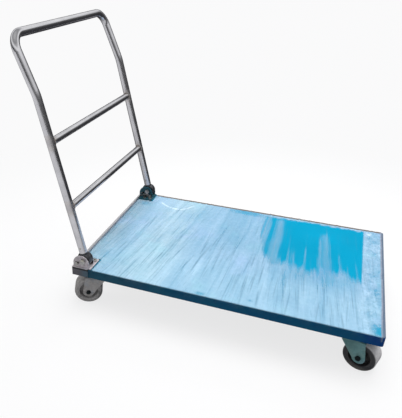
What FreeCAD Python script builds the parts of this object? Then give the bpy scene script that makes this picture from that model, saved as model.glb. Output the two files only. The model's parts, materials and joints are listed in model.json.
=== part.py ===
import FreeCAD, Part
import math
import os
import Sketcher
from FreeCAD import Vector, Rotation, Placement

# Folding platform trolley: a pressed steel deck with down-turned flanges, a bent tube
# handle with two rungs that folds forward onto the deck, a latch rod that locks the
# handle upright, and four plate-mounted swivel castors.
#
# Frame: millimetres, +Z up, +X towards the front (away from the handle), origin at the
# centre of the load face. "left" and "right" are those of a person pushing the trolley
# towards +X, so left is +Y and right is -Y.

doc = FreeCAD.newDocument("PlatformTrolley")
sheet = doc.addObject("Spreadsheet::Sheet", "Dimensions")

# alias, value, what it is
DIMENSIONS = [
    # deck
    ("ride_height", 140.0, "load face above the floor"),
    ("deck_len", 900.0, "deck length"),
    ("deck_wid", 600.0, "deck width"),
    ("deck_depth", 30.0, "depth of the down-turned flange"),
    ("deck_sheet", 2.0, "deck sheet thickness"),
    ("deck_lip", 8.0, "width of the return lip under the flange"),
    ("deck_corner", 7.0, "radius of the upright corners"),
    ("deck_bend", 3.0, "outside radius of the top bend"),
    ("film_gap", 0.2, "air between sheet and film"),
    ("film_thick", 0.4, "film wrap thickness"),
    ("film_side", 2.0, "film on the long flanges, beyond film_turn"),
    ("film_turn", 12.0, "film on the long flanges, below the bend radius"),
    ("film_end", 6.0, "bare strip at each end of the deck"),
    ("film_notch", 6.0, "bare strip round the bracket bases"),
    ("channel_wid", 94.0, "castor channel width"),
    ("channel_sheet", 3.0, "castor channel sheet"),
    ("channel_len", 575.0, "channel length"),
    ("mid_channel_wid", 60.0, "centre channel width"),
    ("mid_channel_depth", 22.0, "centre channel depth"),
    ("mid_channel_sheet", 2.0, "centre channel and rib sheet"),
    ("rib_wid", 34.0, "rib width"),
    ("rib_depth", 20.0, "rib depth"),
    ("rib_y", 115.0, "rib centre from the deck centre line"),
    ("rib_gap", 0.5, "gap between a rib's end and a channel"),
    # handle
    ("tube_dia", 25.4, "handle tube outside diameter"),
    ("tube_wall", 1.5, "handle tube wall"),
    ("rung_dia", 22.2, "rung tube outside diameter"),
    ("rung_wall", 1.5, "rung tube wall"),
    ("upright_y", 282.3, "upright centre line from the deck centre line"),
    ("upright_x", 412.0, "where the upright axis meets the load face, behind the centre"),
    ("lean", 13.95, "backward lean of the uprights, degrees"),
    ("crank", 8.7, "extra lean above the bend, degrees"),
    ("rung_low", 202.3, "lower rung, along the upright from the load face"),
    ("rung_high", 404.6, "upper rung, along the upright"),
    ("crank_at", 538.0, "bend, along the upright"),
    ("grip_at", 705.6, "grip bar, along the upright"),
    ("crank_radius", 150.0, "centre line radius of the bend"),
    ("grip_radius", 45.0, "centre line radius of the grip corners"),
    # hinge and latch
    ("pivot_up", 25.0, "pivot above the load face"),
    ("pivot_bolt_dia", 10.0, "pivot bolt"),
    ("pivot_hex_rad", 9.6, "pivot bolt hexagons, centre to corner"),
    ("pivot_head_high", 6.0, "pivot bolt head height"),
    ("pivot_nut_high", 8.0, "pivot nut height"),
    ("pivot_tail", 10.5, "pivot bolt beyond the inner cheek"),
    ("cam_radius", 21.0, "foot cam radius"),
    ("cam_wid", 25.0, "foot cam width"),
    ("cam_neck", 24.0, "pivot to the end of the tube"),
    ("neck_root", 6.0, "pivot to the start of the neck, inside the cam"),
    ("neck_step", 0.4, "neck radius below the tube's outside radius"),
    ("spigot_len", 36.0, "length of the cam spigot inside the tube"),
    ("pin_rad", 3.0, "radius of the pin through tube and spigot"),
    ("pin_len", 25.0, "length of that pin"),
    ("cheek_gap", 26.8, "clear width between the bracket cheeks"),
    ("cheek_thick", 4.0, "bracket cheek thickness"),
    ("cheek_radius", 27.0, "cheek dome radius"),
    ("cheek_x", 425.0, "cheek centre behind the deck centre"),
    ("skirt_gap", 0.2, "air between the bracket skirt and the deck flange"),
    ("skirt_thick", 3.0, "bracket skirt thickness"),
    ("skirt_front", 402.0, "front end of the bracket skirt, behind the deck centre"),
    ("skirt_back", 456.0, "rear end of the bracket skirt, behind the deck centre"),
    ("skirt_drop", 28.0, "how far the bracket skirt hangs below the deck top"),
    ("cheek_top", 42.0, "cheek top above the load face"),
    ("base_thick", 3.0, "bracket base thickness"),
    ("base_front", 392.0, "front end of the bracket base, behind the deck centre"),
    ("base_inset", 2.0, "rear end of the bracket base ahead of the cheek's rear end"),
    ("base_in", 238.0, "inner edge of the bracket base from the centre line"),
    ("base_bolt_y", 250.0, "bracket bolt row from the centre line"),
    ("base_bolt_front", 402.0, "front bracket bolt, behind the deck centre"),
    ("base_bolt_back", 424.0, "rear bracket bolt, behind the deck centre"),
    ("base_head_rad", 7.0, "bracket bolt head radius"),
    ("base_head_high", 4.2, "bracket bolt head height"),
    ("base_shank", 16.0, "bracket bolt length under the head"),
    ("socket_rad", 2.9, "bracket bolt socket, centre to corner"),
    ("socket_up", 2.0, "bracket bolt socket floor above the underside of the head"),
    ("latch_dia", 8.0, "latch rod diameter"),
    ("latch_angle", 26.6, "latch slot angle above the deck, degrees"),
    ("latch_out", 25.8, "latch rod centre from the pivot, released"),
    ("latch_in", 18.0, "latch rod centre from the pivot, locked"),
    ("latch_half", 303.0, "half length of the latch rod"),
    ("cap_rad", 6.6, "latch rod cap radius"),
    ("cap_thick", 3.5, "latch rod cap thickness"),
    ("cap_gap", 0.3, "air between cap and outer cheek"),
    ("fold_angle", 103.95, "travel of the handle from upright to folded, degrees"),
    ("post_dia", 5.0, "spring post diameter"),
    ("post_len", 9.0, "spring post length, without its head"),
    ("post_head_step", 1.0, "spring post head radius beyond the post's"),
    ("post_head_thick", 1.5, "spring post head thickness"),
    ("post_at", 36.0, "spring post from the released latch rod"),
    ("post_drop", 4.6, "slope of the spring, rod to post, degrees"),
    ("spring_in", 5.0, "spring centre from the inner cheek"),
    ("spring_mean", 5.6, "spring coil mean diameter"),
    ("spring_wire", 1.2, "spring wire diameter"),
    ("loop_gap", 0.35, "air between a spring loop and its rod or post"),
    # castors
    ("castor_front_x", 382.0, "front castor centres ahead of the deck centre"),
    ("castor_rear_x", 394.0, "rear castor centres behind the deck centre"),
    ("castor_y", 250.0, "castor centre from the deck centre, sideways"),
    ("castor_high", 109.4, "castor overall height"),
    ("plate_len", 96.0, "castor plate length"),
    ("plate_wid", 80.0, "castor plate width"),
    ("plate_thick", 3.0, "castor plate thickness"),
    ("plate_corner", 9.0, "castor plate corner radius"),
    ("plate_hole_x", 72.0, "castor plate hole spacing, lengthways"),
    ("plate_hole_y", 60.0, "castor plate hole spacing, sideways"),
    ("plate_hole_dia", 9.0, "castor plate hole"),
    ("race_out", 35.0, "race outside radius"),
    ("race_in", 18.0, "race inside radius"),
    ("race_pitch", 25.5, "ball circle radius"),
    ("race_chamfer", 1.5, "chamfer on the outer rim of each race"),
    ("race_half_gap", 0.8, "race face above or below the ball centres"),
    ("ball_dia", 6.35, "race ball diameter"),
    ("groove_rad", 3.3, "race groove radius"),
    ("ball_up", 101.0, "ball centre above the floor"),
    ("kingpin_dia", 12.0, "kingpin diameter"),
    ("king_head_rad", 10.0, "kingpin head radius"),
    ("king_head_high", 2.0, "kingpin head height"),
    ("king_drop", 9.2, "kingpin shaft end below the fork crown top"),
    ("rivet_rad", 9.5, "kingpin rivet radius"),
    ("rivet_high", 3.0, "kingpin rivet height"),
    ("rivet_drop", 0.4, "rivet underside below the shaft end"),
    ("king_washer_rad", 19.0, "kingpin washer radius"),
    ("king_washer_thick", 3.2, "kingpin washer thickness"),
    ("crown_top", 97.2, "fork crown top above the floor"),
    ("crown_thick", 3.0, "fork sheet thickness"),
    ("crown_round", 5.0, "outside radius between crown and leg"),
    ("crown_fillet", 2.0, "inside radius between crown and leg"),
    ("leg_gap", 52.0, "clear width between the fork legs"),
    ("trail", 30.0, "axle behind the kingpin"),
    ("fork_front", 23.0, "front of the fork saddle from the kingpin"),
    ("fork_trim", 1.0, "trimmed off the front of the saddle"),
    ("fork_back", 40.0, "back of the fork saddle from the kingpin"),
    ("edge_front", 13.0, "leg starts to taper below the crown top, front"),
    ("edge_back", 6.0, "leg starts to taper below the crown top, back"),
    ("wheel_dia", 90.0, "wheel diameter"),
    ("tyre_wid", 48.0, "tyre width"),
    ("tyre_inner", 34.0, "tyre inside radius"),
    ("tyre_round", 5.5, "tyre shoulder radius"),
    ("leg_end", 18.0, "radius of the fork leg round the axle"),
    ("axle_dia", 8.0, "axle bolt diameter"),
    ("axle_tail", 8.0, "axle bolt beyond the fork leg, nut end"),
    ("sleeve_dia", 12.0, "axle sleeve outside diameter"),
    ("sleeve_play", 0.05, "gap between each sleeve end and its leg"),
    ("hub_wid", 50.6, "wheel hub width"),
    ("web_half", 4.0, "half thickness of the wheel web"),
    ("rim_inset", 1.5, "rim edge in from the tyre side"),
    ("swivel_front_right", 161.0, "front right castor heading at rest, degrees"),
    ("swivel_front_left", 158.0, "front left castor heading at rest, degrees"),
    ("swivel_rear_right", 24.0, "rear right castor heading at rest, degrees"),
    ("swivel_rear_left", 14.0, "rear left castor heading at rest, degrees"),
    # fasteners
    ("bolt_dia", 8.0, "M8 bolts"),
    ("bolt_head_rad", 7.5, "M8 hexagon, centre to corner"),
    ("bolt_head_high", 5.3, "M8 head height"),
    ("washer_rad", 8.0, "M8 washer radius"),
    ("washer_thick", 1.6, "M8 washer thickness"),
    ("nut_high", 6.5, "M8 nut height"),
    ("plate_shank", 18.0, "castor plate bolt shank, with the part inside the head"),
    # clearances, all on the radius
    ("tight_fit", 0.02, "cap, cope, plate and rim"),
    ("nut_fit", 0.05, "nuts, cam pins and spigots"),
    ("turn_fit", 0.08, "fork on kingpin, hub on sleeve"),
    ("run_fit", 0.1, "bores on bolts, and the latch slot"),
    ("washer_fit", 0.2, "M8 washers"),
    ("bolt_fit", 0.25, "bracket bolt holes"),
    ("notch_fit", 0.3, "cam notches round the latch rod"),
]

PAST = 1.0  # how far most cutting tools run past the material
OVERLAP = 1.0  # how far a shank runs into its head
RACE_BALLS = 12
SPRING_TURNS = 9

OPERATIONS = {
    "+": lambda a, b: a + b,
    "-": lambda a, b: a - b,
    "*": lambda a, b: a * b,
    "/": lambda a, b: a / b,
}


class Dim:
    """A number that also carries the expression it comes from."""

    def __init__(self, value, text):
        self.value = float(value)
        self.text = text

    def __add__(self, other):
        return joined(self, "+", other)

    def __radd__(self, other):
        return joined(other, "+", self)

    def __sub__(self, other):
        return joined(self, "-", other)

    def __rsub__(self, other):
        return joined(other, "-", self)

    def __mul__(self, other):
        return joined(self, "*", other)

    def __rmul__(self, other):
        return joined(other, "*", self)

    def __truediv__(self, other):
        return joined(self, "/", other)

    def __neg__(self):
        return Dim(-self.value, "(0 - %s)" % self.text)


def as_dim(number):
    return number if isinstance(number, Dim) else Dim(number, repr(float(number)))


def joined(left, sign, right):
    left, right = as_dim(left), as_dim(right)
    value = OPERATIONS[sign](left.value, right.value)
    return Dim(value, "(%s %s %s)" % (left.text, sign, right.text))


def dsin(degrees):
    degrees = as_dim(degrees)
    return Dim(math.sin(math.radians(degrees.value)), "sin((%s) * 1deg)" % degrees.text)


def dcos(degrees):
    degrees = as_dim(degrees)
    return Dim(math.cos(math.radians(degrees.value)), "cos((%s) * 1deg)" % degrees.text)


class Sizes:
    """The driving dimensions, one attribute for each alias of the spreadsheet."""


size = Sizes()
for row, (alias, value, note) in enumerate(DIMENSIONS, start=1):
    sheet.set("A%d" % row, note)
    sheet.set("B%d" % row, repr(value))
    sheet.setAlias("B%d" % row, alias)
    setattr(size, alias, Dim(value, "Dimensions.%s" % alias))
doc.recompute()

pieces = {}
serial_numbers = iter(range(1, 100000))


def fresh(name):
    return "%s_%03d" % (name, next(serial_numbers))


def piece(obj, node):
    """Marks an object as a finished piece, written to its own file."""
    obj.Label = node
    pieces[node] = obj
    return obj


# ----------------------------------------------------------------------------------
# Part helpers
# ----------------------------------------------------------------------------------
def bind(obj, prop, dim):
    dim = as_dim(dim)
    setattr(obj, prop, dim.value)
    if "Dimensions" in dim.text:
        obj.setExpression(prop, dim.text)


def bind_base(obj, x, y, z):
    for prop, dim in (("x", x), ("y", y), ("z", z)):
        obj.setExpression("Placement.Base.%s" % prop, dim.text)


def place(obj, x, y, z, axis=(0, 0, 1), angle=0.0):
    x, y, z, angle = as_dim(x), as_dim(y), as_dim(z), as_dim(angle)
    obj.Placement = Placement(
        Vector(x.value, y.value, z.value), Rotation(Vector(*axis), angle.value)
    )
    bind_base(obj, x, y, z)
    if "Dimensions" in angle.text:
        obj.setExpression("Placement.Rotation.Angle", angle.text)
    return obj


# turns that take a primitive's own Z axis onto another axis
TURN = {"z": ((0, 0, 1), 0.0), "y": ((1, 0, 0), -90.0)}


def box(x0, x1, y0, y1, z0, z1, name):
    obj = doc.addObject("Part::Box", fresh(name))
    bind(obj, "Length", as_dim(x1) - x0)
    bind(obj, "Width", as_dim(y1) - y0)
    bind(obj, "Height", as_dim(z1) - z0)
    return place(obj, x0, y0, z0)


def cylinder(radius, length, x, y, z, along="z", name="Cylinder"):
    obj = doc.addObject("Part::Cylinder", fresh(name))
    bind(obj, "Radius", radius)
    bind(obj, "Height", length)
    return place(obj, x, y, z, *TURN[along])


def hexagon(radius, length, x, y, z, along="z", name="Hexagon"):
    obj = doc.addObject("Part::Prism", fresh(name))
    obj.Polygon = 6
    bind(obj, "Circumradius", radius)
    bind(obj, "Height", length)
    return place(obj, x, y, z, *TURN[along])


def ball(radius, x, y, z, name):
    obj = doc.addObject("Part::Sphere", fresh(name))
    bind(obj, "Radius", radius)
    return place(obj, x, y, z)


def span(side, near, far):
    """Start and length of the stretch from near to far, mirrored when side is negative."""
    start = near if side > 0 else far
    return as_dim(start) * side, as_dim(far) - near


def side_box(side, x0, x1, near, far, z0, z1, name):
    """A box between two distances from the centre line, on one side of it."""
    start, width = span(side, near, far)
    return box(x0, x1, start, start + width, z0, z1, name)


def side_bar(shape, side, radius, near, far, x, z, name):
    """A cylinder or hexagon along Y between two distances from the centre line."""
    start, length = span(side, near, far)
    return shape(radius, length, x, start, z, "y", name)


def fuse(parts, name):
    obj = doc.addObject("Part::MultiFuse", fresh(name))
    obj.Shapes = parts
    obj.Refine = True
    return obj


def cut(base, tools, name):
    tool = tools[0] if len(tools) == 1 else fuse(tools, "Tools")
    obj = doc.addObject("Part::Cut", fresh(name))
    obj.Base = base
    obj.Tool = tool
    obj.Refine = True
    return obj


def group(parts, node):
    obj = doc.addObject("Part::Compound", fresh("Group"))
    obj.Links = parts
    return piece(obj, node)


def bored(shape, radius, height, bore, x, y, z, name):
    """An upright nut or washer: a hexagon or cylinder with a round bore."""
    blank = shape(radius, height, x, y, z, "z", name + "Blank")
    hole = cylinder(bore, height + PAST * 2, x, y, z - PAST, "z", name + "Hole")
    return cut(blank, [hole], name)


# ----------------------------------------------------------------------------------
# PartDesign helpers
# ----------------------------------------------------------------------------------
def new_body(node):
    return piece(doc.addObject("PartDesign::Body", fresh("Body")), node)


def new_sketch(body, role, offset=0.0):
    """A sketch on XY (x, y), XZ (x, z) or YZ (y, z), moved along the plane's normal."""
    plane = [f for f in body.Origin.OriginFeatures if f.Role == role][0]
    sketch = body.newObject("Sketcher::SketchObject", fresh("Sketch"))
    sketch.AttachmentSupport = [(plane, "")]
    sketch.MapMode = "FlatFace"
    offset = as_dim(offset)
    sketch.AttachmentOffset = Placement(Vector(0, 0, offset.value), Rotation())
    sketch.setExpression("AttachmentOffset.Base.z", offset.text)
    return sketch


def from_origin(sketch, geo, point, x, y):
    """Fixes a point of the sketch at x, y from its origin, bound to the spreadsheet."""
    for kind, dim, axis in (("DistanceX", as_dim(x), -2), ("DistanceY", as_dim(y), -1)):
        if abs(dim.value) < 1e-9:
            sketch.addConstraint(Sketcher.Constraint("PointOnObject", geo, point, axis))
        else:
            i = sketch.addConstraint(
                Sketcher.Constraint(kind, -1, 1, geo, point, dim.value)
            )
            sketch.setExpression("Constraints[%d]" % i, dim.text)


def outline(sketch, points):
    """A closed outline of straight lines through the points."""
    points = [(as_dim(x), as_dim(y)) for x, y in points]
    corners = [Vector(x.value, y.value, 0) for x, y in points]
    following = corners[1:] + corners[:1]
    lines = [
        sketch.addGeometry(Part.LineSegment(start, end), False)
        for start, end in zip(corners, following)
    ]
    for line, next_line in zip(lines, lines[1:] + lines[:1]):
        sketch.addConstraint(Sketcher.Constraint("Coincident", line, 2, next_line, 1))
    for line, (x, y) in zip(lines, points):
        from_origin(sketch, line, 1, x, y)


def mirrored(points):
    """The points, then their mirror images across the sketch's upright axis."""
    return points + [(-as_dim(x), y) for x, y in reversed(points)]


def rectangle(sketch, x0, x1, y0, y1):
    outline(sketch, [(x0, y0), (x1, y0), (x1, y1), (x0, y1)])


def centred_rectangle(sketch, half_x, half_y):
    rectangle(sketch, -half_x, half_x, -half_y, half_y)


def circle(sketch, x, y, radius):
    x, y, radius = as_dim(x), as_dim(y), as_dim(radius)
    centre = Vector(x.value, y.value, 0)
    geo = sketch.addGeometry(Part.Circle(centre, Vector(0, 0, 1), radius.value), False)
    from_origin(sketch, geo, 3, x, y)
    i = sketch.addConstraint(Sketcher.Constraint("Radius", geo, radius.value))
    sketch.setExpression("Constraints[%d]" % i, radius.text)


def extrude(body, kind, sketch, length, reverse, both):
    feature = body.newObject("PartDesign::" + kind, fresh(kind))
    feature.Profile = sketch
    bind(feature, "Length", length)
    feature.Reversed = reverse
    if both:
        # the property's name depends on the FreeCAD version
        if hasattr(feature, "SideType"):
            feature.SideType = "Symmetric"
        else:
            feature.Midplane = True
    doc.recompute()
    return feature


def spin(body, kind, sketch, axis):
    feature = body.newObject("PartDesign::" + kind, fresh(kind))
    feature.Profile = sketch
    feature.ReferenceAxis = (sketch, [axis])
    feature.Angle = 360.0
    doc.recompute()
    return feature


def require_removal(body, feature, before):
    """Stops if a feature took nothing off the body."""
    if body.Shape.Volume > before - 1e-3:
        raise RuntimeError("%s of %s removed nothing" % (feature.Name, body.Label))


def pad(body, sketch, length, reverse=False, both=False):
    return extrude(body, "Pad", sketch, length, reverse, both)


def pocket(body, sketch, length, reverse=False, both=False):
    before = body.Shape.Volume
    feature = extrude(body, "Pocket", sketch, length, reverse, both)
    require_removal(body, feature, before)


def revolve(body, sketch, axis="V_Axis"):
    return spin(body, "Revolution", sketch, axis)


def groove(body, sketch):
    before = body.Shape.Volume
    feature = spin(body, "Groove", sketch, "V_Axis")
    require_removal(body, feature, before)


def fillet(body, base, names, radius):
    feature = body.newObject("PartDesign::Fillet", fresh("Fillet"))
    feature.Base = (base, names)
    bind(feature, "Radius", radius)
    doc.recompute()
    if not names or "Invalid" in feature.State or feature.Shape.isNull():
        raise RuntimeError("%s of %s failed on %s" % (feature.Name, body.Label, names))
    return feature


def edges_where(shape, test):
    return ["Edge%d" % i for i, edge in enumerate(shape.Edges, start=1) if test(edge)]


def runs_along_x(shape, y, z):
    """Straight edges along X at this height and this distance from the XZ plane."""
    y, z = as_dim(y).value, as_dim(z).value

    def test(edge):
        if len(edge.Vertexes) != 2:
            return False
        start, end = edge.Vertexes[0].Point, edge.Vertexes[1].Point
        return (
            abs(start.x - end.x) > 1e-3
            and abs(start.y - end.y) < 1e-6
            and all(
                abs(abs(point.y) - y) < 1e-6 and abs(point.z - z) < 1e-6
                for point in (start, end)
            )
        )

    return edges_where(shape, test)


def upright_edges(shape):
    def test(edge):
        if len(edge.Vertexes) != 2:
            return False
        step = edge.Vertexes[-1].Point - edge.Vertexes[0].Point
        return abs(step.x) < 1e-6 and abs(step.y) < 1e-6 and abs(step.z) > 1e-3

    return edges_where(shape, test)


# ----------------------------------------------------------------------------------
# Levels and places used by several pieces
# ----------------------------------------------------------------------------------
floor = -size.ride_height
deck_top = -(size.film_gap + size.film_thick)
sheet_under = deck_top - size.deck_sheet
deck_under = deck_top - size.deck_depth
half_len, half_wid = size.deck_len / 2, size.deck_wid / 2
base_top = deck_top + size.base_thick

# faces of the bracket cheeks, from the centre line
gap_out = size.upright_y + size.cheek_gap / 2
gap_in = size.upright_y - size.cheek_gap / 2
cheek_out = gap_out + size.cheek_thick
cheek_in = gap_in - size.cheek_thick

lean = size.lean
pivot_x = -(size.upright_x + size.pivot_up * dsin(lean) / dcos(lean))
pivot_z = size.pivot_up
slot_cos, slot_sin = dcos(size.latch_angle), dsin(size.latch_angle)
latch_x = pivot_x - size.latch_out * slot_cos
latch_z = pivot_z - size.latch_out * slot_sin
lock_x = pivot_x - size.latch_in * slot_cos
lock_z = pivot_z - size.latch_in * slot_sin
post_x = latch_x + size.post_at * dcos(size.post_drop)
post_z = latch_z - size.post_at * dsin(size.post_drop)

# name and sign along Y, then name, sign along X and castor distance
SIDES = (("right", -1.0), ("left", 1.0))
ENDS = (("front", 1.0, size.castor_front_x), ("rear", -1.0, size.castor_rear_x))


def base_bolt_places(side):
    return [
        (-behind, size.base_bolt_y * side)
        for behind in (size.base_bolt_front, size.base_bolt_back)
    ]


def plate_hole_places(x, y):
    """The four holes of a castor plate centred at x, y."""
    return [
        (x + size.plate_hole_x * i, y + size.plate_hole_y * j)
        for i in (-0.5, 0.5)
        for j in (-0.5, 0.5)
    ]


# ----------------------------------------------------------------------------------
# Deck
# ----------------------------------------------------------------------------------
def deck_pan():
    """One folded sheet with down-turned flanges and return lips."""
    body = new_body("deck_pan")
    sketch = new_sketch(body, "XY_Plane", deck_top)
    centred_rectangle(sketch, half_len, half_wid)
    blank = pad(body, sketch, size.deck_depth, reverse=True)
    blank = fillet(body, blank, upright_edges(blank.Shape), size.deck_corner)
    top_edges = edges_where(
        blank.Shape,
        lambda edge: all(abs(v.Point.z - deck_top.value) < 1e-6 for v in edge.Vertexes),
    )
    fillet(body, blank, top_edges, size.deck_bend)
    # hollow down to the lip, then the opening inside the lip
    sketch = new_sketch(body, "XY_Plane", sheet_under)
    centred_rectangle(sketch, half_len - size.deck_sheet, half_wid - size.deck_sheet)
    pocket(body, sketch, size.deck_depth - size.deck_sheet * 2)
    sketch = new_sketch(body, "XY_Plane", deck_under)
    centred_rectangle(sketch, half_len - size.deck_lip, half_wid - size.deck_lip)
    pocket(body, sketch, size.deck_sheet + PAST, reverse=True)
    sketch = new_sketch(body, "XY_Plane", deck_top)
    for _, side in SIDES:
        for x, y in base_bolt_places(side):
            circle(sketch, x, y, size.bolt_dia / 2 + size.bolt_fit)
    pocket(body, sketch, size.deck_sheet + PAST)


def u_channel(node, centre, width, bottom, thick):
    """A channel along Y, open upwards against the deck sheet."""
    body = new_body(node)
    sketch = new_sketch(body, "XZ_Plane")
    back, front = centre - width / 2, centre + width / 2
    outline(
        sketch,
        [
            (back, bottom),
            (front, bottom),
            (front, sheet_under),
            (front - thick, sheet_under),
            (front - thick, bottom + thick),
            (back + thick, bottom + thick),
            (back + thick, sheet_under),
            (back, sheet_under),
        ],
    )
    pad(body, sketch, size.channel_len, both=True)
    return body


def castor_channel(end, centre):
    body = u_channel(
        "castor_channel_" + end, centre, size.channel_wid, deck_under, size.channel_sheet
    )
    sketch = new_sketch(body, "XY_Plane", deck_under)
    for _, side in SIDES:
        for x, y in plate_hole_places(centre, size.castor_y * side):
            circle(sketch, x, y, size.plate_hole_dia / 2)
    pocket(body, sketch, size.channel_sheet + 0.5, reverse=True)


def centre_channel():
    u_channel(
        "centre_channel",
        0.0,
        size.mid_channel_wid,
        sheet_under - size.mid_channel_depth,
        size.mid_channel_sheet,
    )


def deck_ribs():
    """Four U ribs along X, between the centre channel and the castor channels."""
    ribs = []
    near = size.mid_channel_wid / 2 + size.rib_gap
    half, thick = size.rib_wid / 2, size.mid_channel_sheet
    bottom = sheet_under - size.rib_depth
    for _, sign, castor_x in ENDS:
        far = castor_x - size.channel_wid / 2 - size.rib_gap
        x0, length = span(sign, near, far)
        x1 = x0 + length
        for _, side in SIDES:
            y = size.rib_y * side
            outer = box(x0, x1, y - half, y + half, bottom, sheet_under, "RibOuter")
            inner = box(
                x0 - PAST, x1 + PAST,
                y - half + thick, y + half - thick,
                bottom + thick, sheet_under + PAST, "RibInner",
            )
            ribs.append(cut(outer, [inner], "Rib"))
    group(ribs, "deck_ribs")


def film_wrap():
    """A thin sheet over the load face, notched round the handle brackets and turned
    down the two long flanges."""
    end_x = half_len - size.film_end
    side_y = half_wid + size.film_gap + size.film_thick
    notch_x = -(size.base_front - size.film_notch)
    notch_y = size.base_in - size.film_notch
    drop = size.deck_bend + size.film_side + size.film_turn
    body = new_body("film_wrap")
    sketch = new_sketch(body, "XY_Plane")
    outline(
        sketch,
        [
            (end_x, -side_y),
            (end_x, side_y),
            (notch_x, side_y),
            (notch_x, notch_y),
            (-end_x, notch_y),
            (-end_x, -notch_y),
            (notch_x, -notch_y),
            (notch_x, -side_y),
        ],
    )
    blank = pad(body, sketch, drop, reverse=True)
    fillet(
        body,
        blank,
        runs_along_x(blank.Shape, side_y, 0.0),
        size.deck_bend + size.film_gap + size.film_thick,
    )
    # hollow underneath, with each bend followed by two straight facets
    sketch = new_sketch(body, "YZ_Plane")
    inner_y = half_wid + size.film_gap
    facet = size.deck_bend * 0.3
    outline(
        sketch,
        mirrored([
            (inner_y, -drop - PAST),
            (inner_y, -(size.film_thick + size.deck_bend)),
            (inner_y - facet, -(size.film_thick + facet)),
            (inner_y - size.deck_bend, -size.film_thick),
        ]),
    )
    pocket(body, sketch, size.deck_len + 20.0, both=True)


# ----------------------------------------------------------------------------------
# Handle brackets and their fasteners
# ----------------------------------------------------------------------------------
def bracket_blank(side):
    cheek_back = -(size.cheek_x + size.cheek_radius)
    cheek_front = -(size.cheek_x - size.cheek_radius)
    dome_z = size.cheek_top - size.cheek_radius
    skirt_in = half_wid + size.skirt_gap
    skirt_out = skirt_in + size.skirt_thick
    # the base carries on outwards as a wing and turns down over the deck flange
    parts = [
        side_box(
            side, cheek_back + size.base_inset, -size.base_front,
            size.base_in, cheek_out, deck_top, base_top, "Base",
        ),
        side_box(
            side, -size.skirt_back, -size.skirt_front,
            gap_out, skirt_out, deck_top, base_top, "BaseWing",
        ),
        side_box(
            side, -size.skirt_back, -size.skirt_front,
            skirt_in, skirt_out, deck_top - size.skirt_drop, base_top, "Skirt",
        ),
    ]
    for near, far in ((gap_out, cheek_out), (cheek_in, gap_in)):
        parts.append(
            side_box(side, cheek_back, cheek_front, near, far, deck_top, dome_z, "CheekFoot")
        )
        parts.append(
            side_bar(
                cylinder, side, size.cheek_radius, near, far, -size.cheek_x, dome_z,
                "CheekDome",
            )
        )
    return fuse(parts, "BracketBlank")


def slot_way(side, near, far, half):
    """The straight part of the latch slot, between its two round ends."""
    start, length = span(side, near, far)
    way = doc.addObject("Part::Box", fresh("SlotWay"))
    bind(way, "Length", size.latch_out - size.latch_in)
    bind(way, "Width", length)
    bind(way, "Height", half * 2)
    return place(
        way, latch_x + half * slot_sin, start, latch_z - half * slot_cos,
        (0, -1, 0), size.latch_angle,
    )


def handle_bracket(name, side):
    """A bent plate with two domed cheeks on a bolted base."""
    blank = bracket_blank(side)
    near, far = cheek_in - PAST, cheek_out + PAST
    slot_half = size.latch_dia / 2 + size.run_fit
    tools = [
        side_box(
            side,
            -(size.cheek_x + size.cheek_radius + PAST),
            -(size.cheek_x - size.cheek_radius - PAST),
            near, half_wid + size.skirt_gap / 2, deck_top - 20.0, deck_top, "BelowSheet",
        ),
        side_bar(
            cylinder, side, size.pivot_bolt_dia / 2 + size.run_fit, near, far,
            pivot_x, pivot_z, "PivotBore",
        ),
        side_bar(cylinder, side, slot_half, near, far, latch_x, latch_z, "SlotEnd"),
        side_bar(cylinder, side, slot_half, near, far, lock_x, lock_z, "SlotEnd"),
        slot_way(side, near, far, slot_half),
    ]
    for x, y in base_bolt_places(side):
        radius = size.bolt_dia / 2 + size.bolt_fit
        tools.append(cylinder(radius, 20.0, x, y, -10.0, "z", "BoltHole"))
    piece(cut(blank, tools, "Bracket"), "handle_bracket_" + name)


def bracket_fasteners():
    """Bolts with low round heads, and the weld nuts under the sheet."""
    bolts, nuts = [], []
    for _, side in SIDES:
        for x, y in base_bolt_places(side):
            head = cylinder(
                size.base_head_rad, size.base_head_high, x, y, base_top, "z", "Head"
            )
            socket = hexagon(
                size.socket_rad, 3.0, x, y, base_top + size.socket_up, "z", "Socket"
            )
            shank = cylinder(
                size.bolt_dia / 2, size.base_shank, x, y, base_top - size.base_shank,
                "z", "Shank",
            )
            bolts.append(cut(fuse([head, shank], "Bolt"), [socket], "BracketBolt"))
            nuts.append(
                bored(
                    hexagon, size.bolt_head_rad, size.nut_high,
                    size.bolt_dia / 2 + size.nut_fit,
                    x, y, sheet_under - size.nut_high, "BracketNut",
                )
            )
    group(bolts, "bracket_bolts")
    group(nuts, "bracket_weld_nuts")


def pivot_fasteners():
    """Pivot bolts with their heads outside, and their nuts inside."""
    bolts, nuts = [], []
    radius = size.pivot_bolt_dia / 2
    nut_end = cheek_in - size.pivot_nut_high
    for _, side in SIDES:
        head = side_bar(
            hexagon, side, size.pivot_hex_rad, cheek_out, cheek_out + size.pivot_head_high,
            pivot_x, pivot_z, "Head",
        )
        shank = side_bar(
            cylinder, side, radius, cheek_in - size.pivot_tail, cheek_out,
            pivot_x, pivot_z, "Shank",
        )
        nut = side_bar(
            hexagon, side, size.pivot_hex_rad, nut_end, cheek_in, pivot_x, pivot_z, "Nut"
        )
        hole = side_bar(
            cylinder, side, radius + size.nut_fit, nut_end - 2.0, cheek_in + 2.0,
            pivot_x, pivot_z, "NutHole",
        )
        bolts.append(fuse([head, shank], "PivotBolt"))
        nuts.append(cut(nut, [hole], "PivotNut"))
    group(bolts, "pivot_bolts")
    group(nuts, "pivot_nuts")


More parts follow.
